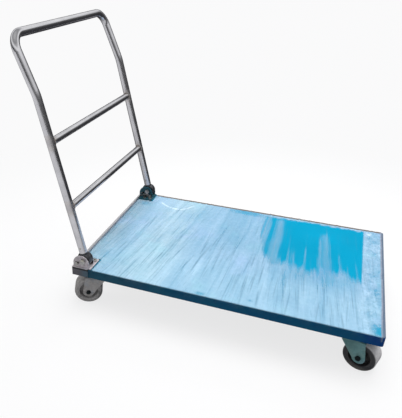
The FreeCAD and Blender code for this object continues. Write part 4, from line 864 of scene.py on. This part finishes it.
def latch_spring(hand):
    lo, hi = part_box("latch_spring_" + hand)
    y = (lo.y + hi.y) / 2
    rod_x, rod_z = mid_xz("latch_rod")
    post_x, post_z = mid_xz("spring_posts")
    rod, post = Vector((rod_x, y, rod_z)), Vector((post_x, y, post_z))
    axis = (post - rod).normalized()
    normal = Vector((-axis.z, 0, axis.x))
    side = Vector((0, 1, 0))

    def eye(centre, radius, count, start):
        """An open hook in the xz plane, 0.86 of a turn."""
        hook = []
        for k in range(count):
            angle = start + math.pi * 0.14 + math.pi * 2 * 0.86 * k / (count - 1)
            hook.append(centre + axis * (radius * math.cos(angle))
                        + normal * (radius * math.sin(angle)))
        return hook

    points = eye(rod, ROD_EYE, count=26, start=0)
    first, last = ROD_EYE + NECK, (post - rod).length - POST_EYE - NECK
    steps = TURNS * TURN_STEPS
    for k in range(steps + 1):
        share = k / steps
        angle = 2 * math.pi * TURNS * share - math.pi / 2
        points.append(rod + axis * (first + (last - first) * share)
                      + normal * (COIL_R * math.sin(angle)) + side * (COIL_R * math.cos(angle)))
    points += eye(post, POST_EYE, count=22, start=math.pi)
    verts, faces = sweep([tuple(point) for point in points], [WIRE_R] * len(points),
                         closed=False, sides=8, up=(0, 1, 0))
    obj = mesh_object("latch_spring_coil_" + hand, verts, faces, SLOT_MATERIALS["spring_steel"])
    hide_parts("latch_spring_" + hand)
    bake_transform(obj)


for _, hand in SIDES:
    latch_spring(hand)


# ---------------------------------------------------------------------------------
# film wrap: a thin sheet drawn over the deck, with pulled wrinkles, cockled ends,
# a clear patch where it clings, and cut-outs round the brackets.
# On its grid, x is the length, arc the distance over the sheet from the centre line,
# and drawn is x slanted along the pull of the wrinkles.
# ---------------------------------------------------------------------------------
FILM_END = 0.4435  # half length
FILM_SIDE = 0.3003  # y of the part on the flange
FILM_TOP = -0.0003
FILM_FLAT = 0.2967  # half width of the flat part
FILM_HEM = -0.0165  # z of the lower edge
FILM_BEND = 0.0034  # bend radius over the deck's edge


def smooth(value):
    value = np.clip(value, 0, 1)
    return value * value * (3 - 2 * value)


def ease(value, start, run):
    """0 at start, rising smoothly to 1 a run further on; a negative run goes towards minus."""
    return smooth((value - start) / run)


def bell(value, middle, width):
    return np.exp(-((value - middle) / width) ** 2)


def value_noise(x, y, seed, freq, octaves, gain=0.5):
    """Smooth repeatable noise in about -1..1, from a table of random numbers."""
    table = np.random.default_rng(seed).uniform(-1, 1, (256, 256))
    total, amp, norm = 0.0, 1.0, 0.0
    for k in range(octaves):
        across, along = x * freq[0] * 2 ** k + 17.3 * k, y * freq[1] * 2 ** k + 9.1 * k
        i, j = np.floor(across).astype(int), np.floor(along).astype(int)
        part_i, part_j = smooth(across - i), smooth(along - j)
        i0, i1, j0, j1 = i % 256, (i + 1) % 256, j % 256, (j + 1) % 256
        near = table[i0, j0] * (1 - part_i) + table[i1, j0] * part_i
        far = table[i0, j1] * (1 - part_i) + table[i1, j1] * part_i
        total = total + amp * (near * (1 - part_j) + far * part_j)
        norm += amp
        amp *= gain
    return total / norm


def film_section():
    """The sheet across the deck, from -y to +y: y, z and the normal's y and z."""
    bend_z = FILM_TOP - FILM_BEND
    right = [(-FILM_SIDE, z, -1, 0) for z in np.linspace(FILM_HEM, bend_z, 8)[:-1]]
    for angle in np.linspace(0, math.pi / 2, 7)[:-1]:
        cos, sin = math.cos(angle), math.sin(angle)
        right.append((-(FILM_SIDE - FILM_BEND) - FILM_BEND * cos, bend_z + FILM_BEND * sin,
                      -cos, sin))
    flat = np.linspace(-FILM_FLAT, FILM_FLAT, 221)
    top = [(y, FILM_TOP, 0, 1) for y in flat]
    left = [(-y, z, -normal_y, normal_z) for y, z, normal_y, normal_z in reversed(right)]
    return np.array(right + top + left, float).T


def draw_line(random, *spans):
    """Random middle x, middle arc, half length and width of a line, each within its span."""
    return [random.uniform(*span) for span in spans]


def pulled_line(drawn, arc, middle_x, middle_arc, length, width, tilt, fade=1):
    """Mask and profile of one line that runs across the deck and fades to its ends."""
    across = (drawn - middle_x) - tilt * (arc - middle_arc)
    near = (np.abs(across) < width * 3.2) & (np.abs(arc - middle_arc) < length)
    ends = np.cos((arc[near] - middle_arc) / length * math.pi / 2) ** fade
    return near, bell(across[near], 0, width) * ends


# a fold near the left side, towards the rear: x and arc
FOLD = np.array([(-0.347, 0.236), (-0.318, 0.214), (-0.290, 0.204),
                 (-0.262, 0.205), (-0.238, 0.224), (-0.221, 0.256)])


def pulled_lines(x, arc, drawn):
    """Relief, haze change and dark-line strength from everything drawn across the deck, with a painted highlight
    on the fold.
    """
    height, light, stroke = (np.zeros_like(x) for _ in range(3))
    # raised wrinkles
    random = np.random.default_rng(602)
    for _ in range(320):
        line = draw_line(random, (-0.45, 0.45), (-0.32, 0.32), (0.05, 0.34), (0.0013, 0.0045))
        tilt = random.normal(0, 0.035)
        high = random.uniform(0.2, 1.0) ** 2 * 0.0010
        near, ridge = pulled_line(drawn, arc, *line, tilt=tilt, fade=2)
        height[near] += ridge * high
        light[near] += ridge * random.uniform(-1.0, 0.9) * 0.05
    # dark lines where the film is stretched on to the sheet, mostly on the right side
    random = np.random.default_rng(77)
    for k in range(270):
        arc_span = (-0.29, 0.08) if k % 3 else (-0.28, 0.27)
        line = draw_line(random, (-0.45, 0.43), arc_span, (0.025, 0.11), (0.0010, 0.0026))
        depth = random.uniform(0.35, 1.0) ** 1.6 * 0.22
        near, ridge = pulled_line(drawn, arc, *line, tilt=random.normal(0, 0.05))
        light[near] -= 0.30 * depth * ridge
        stroke[near] += 2.6 * depth * ridge
    # fine close-set lines to the right of the clear patch
    for _ in range(90):
        line = draw_line(random, (0.03, 0.40), (-0.24, 0.0), (0.03, 0.09), (0.0008, 0.0015))
        near, ridge = pulled_line(drawn, arc, *line, tilt=random.normal(0, 0.03))
        stroke[near] += random.uniform(0.15, 0.45) * ridge
    # broad faint bands, light and dark
    for _ in range(90):
        line = draw_line(random, (-0.45, 0.40), (-0.25, 0.25), (0.08, 0.30), (0.004, 0.011))
        near, ridge = pulled_line(drawn, arc, *line, tilt=random.normal(0, 0.04))
        amount = random.choice([-1.0, 1.0]) * random.uniform(0.4, 1.0) * 0.075
        light[near] += amount * ridge
    # the fold: a raised ridge with a painted highlight along it
    nearest = np.full(x.shape, 9.0)
    for start, end in zip(FOLD[:-1], FOLD[1:]):
        run = end - start
        share = ((x - start[0]) * run[0] + (arc - start[1]) * run[1]) / (run @ run)
        share = np.clip(share, 0, 1)
        gap = np.hypot(x - start[0] - run[0] * share, arc - start[1] - run[1] * share)
        nearest = np.minimum(nearest, gap)
    ridge = bell(nearest, 0, 0.005)
    height += 0.0014 * ridge
    light += 0.20 * ridge
    return height, light, stroke


def crumpled(x, arc):
    """Relief and haze change of the cockled bands at both ends and round the brackets."""
    cockle = np.abs(value_noise(x, arc, seed=11, freq=(70, 60), octaves=3)) ** 1.2
    sharp = 1 - np.abs(value_noise(x, arc, seed=12, freq=(55, 48), octaves=3)) * 2.2
    sharp = np.clip(sharp, 0, 1)
    to_bracket = np.hypot(x + 0.405, np.abs(arc) - 0.262)
    where = ease(x, 0.372, 0.03) + 0.6 * ease(x, -0.395, -0.04)
    where = np.clip(where + 0.8 * ease(to_bracket, 0.062, -0.035), 0, 1)
    speckle = value_noise(x, arc, seed=13, freq=(150, 120), octaves=2)
    return (where * (0.0009 * cockle + 0.0009 * sharp ** 3),
            where * (0.16 * sharp ** 2 + 0.10 * speckle - 0.02))


# right-hand border of the clear patch: x and arc
CLEAR_BORDER = np.array([
    (0.036, 0.25), (0.069, 0.03), (0.093, -0.044), (0.117, -0.052), (0.159, -0.056),
    (0.208, -0.066), (0.243, -0.070), (0.279, -0.056), (0.321, -0.040), (0.358, -0.062),
    (0.388, -0.085)])
# hazy bands across the clear patch: x, width, arc from, arc to, strength
HAZY_BANDS = (
    (0.118, 0.017, -0.05, 0.30, 0.62), (0.281, 0.015, -0.06, 0.24, 0.52),
    (0.262, 0.005, -0.06, 0.20, 0.40), (0.215, 0.004, -0.1, 0.12, 0.40),
    (0.180, 0.003, -0.1, 0.07, 0.35), (0.320, 0.003, -0.1, 0.12, 0.30),
    (0.345, 0.002, -0.1, 0.05, 0.30), (0.078, 0.006, 0.02, 0.26, 0.35))
# small clear spots: x, arc, half length, half width, strength
CLEAR_SPOTS = (
    (0.436, -0.278, 0.020, 0.026, 0.85), (-0.392, -0.190, 0.020, 0.024, 0.22),
    (-0.404, 0.212, 0.022, 0.018, 0.34), (-0.045, -0.292, 0.016, 0.010, 0.45),
    (-0.02, 0.275, 0.06, 0.02, 0.55), (0.096, -0.270, 0.008, 0.006, 0.4))


def clinging(x, arc, drawn):
    """1 where the film clings and shows the paint, 0 where air lies under it."""
    jag = 0.026 * value_noise(drawn, np.zeros_like(x), seed=21, freq=(90, 1), octaves=3, gain=0.7)
    border = np.interp(x, *CLEAR_BORDER.T) + jag
    inside = ease(arc, border - 0.012, 0.062) * ease(x, 0.030 + jag * 0.8, 0.062)
    inside *= ease(x, 0.389, -0.006)
    left = 0.283 + 0.010 * value_noise(x, arc, seed=22, freq=(60, 20), octaves=2)
    inside *= ease(arc, left, -0.014)
    waver = 0.006 * value_noise(x, arc, seed=23, freq=(20, 14), octaves=2)
    for band_x, width, arc_from, arc_to, strength in HAZY_BANDS:
        band = bell(drawn + waver, band_x, width)
        band *= ease(arc, arc_from, 0.03) * ease(arc, arc_to, -0.06)
        inside *= 1 - strength * band
    thin = 0.5 + 0.5 * value_noise(drawn, arc, seed=24, freq=(260, 5), octaves=2)
    inside *= 1 - 0.20 * ease(thin, 0.60, 0.2)
    wide = value_noise(drawn, arc, seed=25, freq=(70, 3), octaves=2)
    inside *= 1 - 0.22 * ease(wide, 0, 0.5) * ease(arc, 0.20, -0.2)
    clear = np.clip(inside * 1.14, 0, 1)
    ragged = 0.35 * value_noise(x, arc, seed=31, freq=(90, 90), octaves=3)
    for spot_x, spot_arc, half_x, half_arc, strength in CLEAR_SPOTS:
        reach = np.hypot((x - spot_x) / half_x, (arc - spot_arc) / half_arc) + ragged
        clear = np.maximum(clear, strength * ease(reach, 1.45, -1.1))
    # film on the flanges lies flat and clear
    flank = ease(np.abs(arc), 0.2985, 0.004)
    patchy = 0.93 - 0.12 * value_noise(drawn, arc, seed=33, freq=(90, 20), octaves=2)
    return np.maximum(clear, flank * patchy)


def film_haze(x, arc, drawn, light, clear):
    """Milkiness: an even haze, thinner and thicker zones, painted highlights by the front left corner, and almost
    none where it clings.
    """
    haze = 0.60 + 0.05 * value_noise(x, arc, seed=41, freq=(6, 5), octaves=3) + light
    haze += 0.04 * value_noise(drawn, arc, seed=42, freq=(60, 4), octaves=2)
    # thinner rearward of the clear patch and along its right-hand border
    haze -= 0.15 * bell(x, -0.02, 0.080) * ease(arc, -0.08, 0.14)
    haze -= 0.17 * ease(x, 0.10, 0.08) * ease(x, 0.385, -0.02) * bell(arc, -0.075, 0.060)
    haze += 0.05 * bell(x, -0.25, 0.08)
    # the front end is thinner and blotchy
    blotch = value_noise(x, arc, seed=43, freq=(20, 9), octaves=2)
    haze -= 0.13 * ease(x, 0.395, 0.015) * (0.75 + 0.5 * blotch)
    blotch = value_noise(x, arc, seed=44, freq=(62, 38), octaves=3)
    haze += 0.16 * ease(x, 0.388, 0.012) * blotch
    # painted highlights: pale glints by the front left corner
    haze += 0.22 * bell(x, 0.404, 0.016) * bell(arc, 0.268, 0.016)
    haze += 0.12 * bell(x, 0.345, 0.030) * bell(arc, 0.283, 0.006)
    return np.clip(haze, 0.08, 0.88) * (1 - clear) + 0.012 * clear


def film_edge(x, arc):
    """Darker edge along the left side and the front end."""
    grit = value_noise(x, arc, seed=51, freq=(120, 200), octaves=2)
    left = ease(arc, 0.2865 + 0.0014 * grit, 0.0024) * ease(arc, 0.3065, -0.002)
    edge = np.clip(left + ease(x, 0.4385, 0.0015) * 0.85, 0, 1)
    edge[np.abs(arc) > 0.303] *= 0.5
    return edge


def grid_mesh(name, points, keep, attributes):
    """Quads over the grid where all four corners are kept, with float point attributes."""
    face_keep = keep[:-1, :-1] & keep[1:, :-1] & keep[:-1, 1:] & keep[1:, 1:]
    used = np.zeros(keep.shape, bool)
    for corner in (used[:-1, :-1], used[1:, :-1], used[:-1, 1:], used[1:, 1:]):
        corner |= face_keep
    index = -np.ones(keep.shape, int)
    index[used] = np.arange(used.sum())
    verts = points[used]
    i, j = np.nonzero(face_keep)
    quads = np.stack([index[i, j], index[i + 1, j], index[i + 1, j + 1], index[i, j + 1]], -1)
    loops = len(quads) * 4
    mesh = bpy.data.meshes.new(name)
    mesh.vertices.add(len(verts))
    mesh.vertices.foreach_set("co", verts.astype(np.float32).ravel())
    mesh.loops.add(loops)
    mesh.loops.foreach_set("vertex_index", quads.astype(np.int32).ravel())
    mesh.polygons.add(len(quads))
    mesh.polygons.foreach_set("loop_start", np.arange(0, loops, 4, dtype=np.int32))
    mesh.polygons.foreach_set("loop_total", np.full(len(quads), 4, np.int32))
    mesh.update(calc_edges=True)
    mesh.validate()
    mesh.polygons.foreach_set("use_smooth", [True] * len(mesh.polygons))
    for label, values in attributes.items():
        attribute = mesh.attributes.new(label, "FLOAT", "POINT")
        attribute.data.foreach_set("value", values[used].astype(np.float32))
    return mesh


def build_film():
    stations = np.linspace(-FILM_END, FILM_END, 820)
    section_y, section_z, normal_y, normal_z = film_section()
    steps = np.hypot(np.diff(section_y), np.diff(section_z))
    length = np.concatenate([[0], np.cumsum(steps)])
    x, arc = np.meshgrid(stations, length - length[-1] / 2, indexing="ij")
    drawn = x - np.clip(0.02 - 0.48 * x, -0.085, 0.085) * arc
    flat = np.zeros_like(x)  # for noise that varies one way only

    height, light, stroke = pulled_lines(x, arc, drawn)
    crumple_height, crumple_light = crumpled(x, arc)
    clear = clinging(x, arc, drawn)
    height = (height + crumple_height) * (1 - 0.75 * clear)
    haze = film_haze(x, arc, drawn, light + crumple_light, clear)

    # ragged lower edges
    z = np.broadcast_to(section_z, x.shape)
    ragged = 0.5 + 0.5 * value_noise(x, flat, seed=61, freq=(26, 1), octaves=3)
    z = np.where(z < -0.004, -0.004 + (z + 0.004) * (1 - 0.28 * ragged), z)
    # rolled ends, a faint swell all over, and waves at the lower edges
    roll = ease(np.abs(x), 0.4395, 0.004) * 0.0009
    height += roll * (0.4 + 0.6 * np.abs(value_noise(arc, flat, seed=62, freq=(60, 1), octaves=2)))
    swell = 0.5 + 0.5 * value_noise(x, arc, seed=63, freq=(30, 22), octaves=2)
    height += 0.0003 * swell * (1 - clear)
    bottom = np.clip((np.abs(arc) - 0.3015) / 0.0145, 0, 1)
    wave = 0.5 + 0.5 * value_noise(x, flat, seed=64, freq=(45, 1), octaves=2)
    height += bottom * 0.0004 * wave
    # wavering ends; the ease is 0 up to its start
    waver = value_noise(arc, flat, seed=65, freq=(40, 1), octaves=3)
    end_x = x + np.sign(x) * ease(np.abs(x), 0.43, 0.0135) * 0.0016 * waver
    points = np.stack([end_x, section_y + normal_y * height, z + normal_z * height], -1)
    # cut-outs round the brackets
    cut_x = -0.3875 + 0.0020 * value_noise(arc, flat, seed=71, freq=(90, 1), octaves=2)
    cut_arc = 0.2335 + 0.0020 * value_noise(x, flat, seed=72, freq=(90, 1), octaves=2)
    keep = ~((x < cut_x) & (np.abs(arc) > cut_arc))

    mesh = grid_mesh("film_sheet", points, keep, {
        "haze": haze, "streak_u": drawn, "edge": film_edge(x, arc),
        "stroke": np.clip(stroke, 0, 1) * (1 - clear)})
    obj = bpy.data.objects.new("film_sheet", mesh)
    scene.collection.objects.link(obj)
    mesh.materials.append(SLOT_MATERIALS["film"])
    return obj


film = build_film()
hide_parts("film_wrap")
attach(film, "deck")


# ---------------------------------------------------------------------------------
# floor, world, lights, camera
# ---------------------------------------------------------------------------------
def floor_material():
    """Pale studio floor: lit and shadowed near the trolley, even white further out.

    Polished metal sees it darker behind the trolley than in front, as it would between a
    lit foreground and a dark room.
    """
    net = Net("studio_floor")
    camera_ray, glossy_ray = net.rays()
    x, y, _ = net.xyz()
    tone = net.noise(scale=1.3).tint(at0=(0.80, 0.80, 0.80), at1=(0.83, 0.83, 0.83))
    lit = net.principled(
        Base_Color=camera_ray.tint(at0=(0.16, 0.16, 0.165), at1=tone), Roughness=0.75,
        Specular_IOR_Level=0.05,
        Normal=net.bump(net.noise(scale=60.0), depth=0.0003, strength=0.2))
    white = net.node("ShaderNodeEmission", {0: (0.955, 0.955, 0.96)})
    # distance from just in front of the deck's centre
    away = net.vector("LENGTH", net.join(x - 0.05, y + 0.0, 0.0))
    even = away.ramp(over=(0.35, 1.7), to=(0.80, 1.0)) * camera_ray
    direct = net.mix_shader(even, at0=lit, at1=white)
    # brightness in reflections rises towards the camera's side, -y
    nearness = y * -0.85 - x * 0.25
    seen = net.node("ShaderNodeEmission", {0: nearness.ramp(over=(-0.55, 0.95)).tint(
        at0=(0.045, 0.045, 0.05), at1=(0.72, 0.72, 0.74))})
    return net.finish(net.mix_shader(glossy_ray, at0=direct, at1=seen))


def build_floor():
    half, z = 14.0, FLOOR - 0.0002
    mesh = bpy.data.meshes.new("studio_floor")
    corners = [(-half, -half, z), (half, -half, z), (half, half, z), (-half, half, z)]
    mesh.from_pydata(corners, [], [(0, 1, 2, 3)])
    obj = bpy.data.objects.new("studio_floor", mesh)
    scene.collection.objects.link(obj)
    mesh.materials.append(floor_material())


# grey level against height, 0 straight down and 1 straight up
AMBIENT_SKY = ((0.0, 0.10), (0.48, 0.13), (0.52, 0.16), (0.62, 0.42), (0.80, 0.80), (1.0, 1.0))
MIRRORED_SKY = ((0.0, 0.06), (0.50, 0.06), (0.56, 0.10), (0.63, 0.22), (0.70, 0.85),
                (0.765, 1.0), (0.82, 0.55), (0.90, 0.30), (1.0, 0.55))


def build_world():
    """White to the camera, a soft sky for light, and a banded sky for reflections."""
    net = Net("studio", kind="worlds")
    scene.world = net.owner
    camera_ray, glossy_ray = net.rays()
    direction = net.node("ShaderNodeTexCoord", {}, "Generated")
    height = net.node("ShaderNodeMapRange", {0: net.xyz(direction)[2], 1: -1.0, 2: 1.0})

    def background(colour, strength):
        return net.node("ShaderNodeBackground", {0: colour, 1: strength})

    def sky(stops):
        node = net.new("ShaderNodeValToRGB")
        net.put(node.inputs[0], height)
        elements = node.color_ramp.elements
        for i, (place, grey) in ((0, stops[0]), (1, stops[-1])):
            elements[i].position = place
            elements[i].color = (grey, grey, grey, 1)
        for place, grey in stops[1:-1]:
            elements.new(place).color = (grey, grey, min(1.0, grey * 1.02), 1)
        return Signal(net, node.outputs[0])

    unseen = net.mix_shader(glossy_ray, at0=background(sky(AMBIENT_SKY), strength=0.55),
                            at1=background(sky(MIRRORED_SKY), strength=1.0))
    white = background((1, 1, 1, 1), strength=1.0)
    net.finish(net.mix_shader(camera_ray, at0=unseen, at1=white), kind="World")


def area_light(name, at, target, size, power, colour=(1, 1, 1)):
    """A rectangular light aimed at the target and hidden from reflections."""
    light = bpy.data.lights.new(name, "AREA")
    light.shape = "RECTANGLE"
    light.size, light.size_y = size
    light.energy = power
    light.color = colour
    obj = bpy.data.objects.new(name, light)
    scene.collection.objects.link(obj)
    obj.location = at
    obj.rotation_euler = (Vector(target) - Vector(at)).to_track_quat("-Z", "Y").to_euler()
    obj.visible_glossy = False


def build_camera():
    """Looks down from the right and slightly from the front, with a shifted lens."""
    data = bpy.data.cameras.new("view_camera")
    camera = bpy.data.objects.new("view_camera", data)
    scene.collection.objects.link(camera)
    azimuth, elevation, roll = (math.radians(angle) for angle in (22.75, 29.27, -0.32))
    forward = Vector((-math.sin(azimuth) * math.cos(elevation),
                      math.cos(azimuth) * math.cos(elevation), -math.sin(elevation)))
    level = Vector((math.cos(azimuth), math.sin(azimuth), 0))
    upward = level.cross(forward)
    camera_x = level * math.cos(roll) + upward * math.sin(roll)
    camera_y = upward * math.cos(roll) - level * math.sin(roll)
    turn = Matrix((camera_x, camera_y, -forward)).transposed()
    camera.matrix_world = Matrix.Translation((0.2386, -1.4935, 0.88033)) @ turn.to_4x4()
    data.sensor_fit = "AUTO"
    data.sensor_width = 36.0
    data.lens = 44.405741627
    data.shift_x = 0.17196172249
    data.shift_y = 0.06055023923
    data.clip_start = 0.01
    scene.camera = camera


build_floor()
build_world()
area_light("key_top", at=(0.3, 0.5, 2.6), target=(0, 0, 0), size=(2.6, 2.0), power=88)
area_light("back_soft", at=(-0.3, 2.8, 1.7), target=(0, 0, 0.1), size=(3.6, 1.6), power=56,
           colour=(0.97, 0.99, 1.0))
area_light("side_left", at=(-2.6, -0.9, 1.5), target=(-0.2, 0, 0.2), size=(1.2, 1.8), power=16)
area_light("front_fill", at=(1.2, -3.0, 1.3), target=(0, 0, 0.1), size=(1.8, 1.2), power=7)
build_camera()

scene.view_settings.view_transform = "Standard"
scene.view_settings.look = "None"
scene.view_settings.exposure = 0.0
scene.cycles.transparent_max_bounces = 12
scene.cycles.use_adaptive_sampling = True
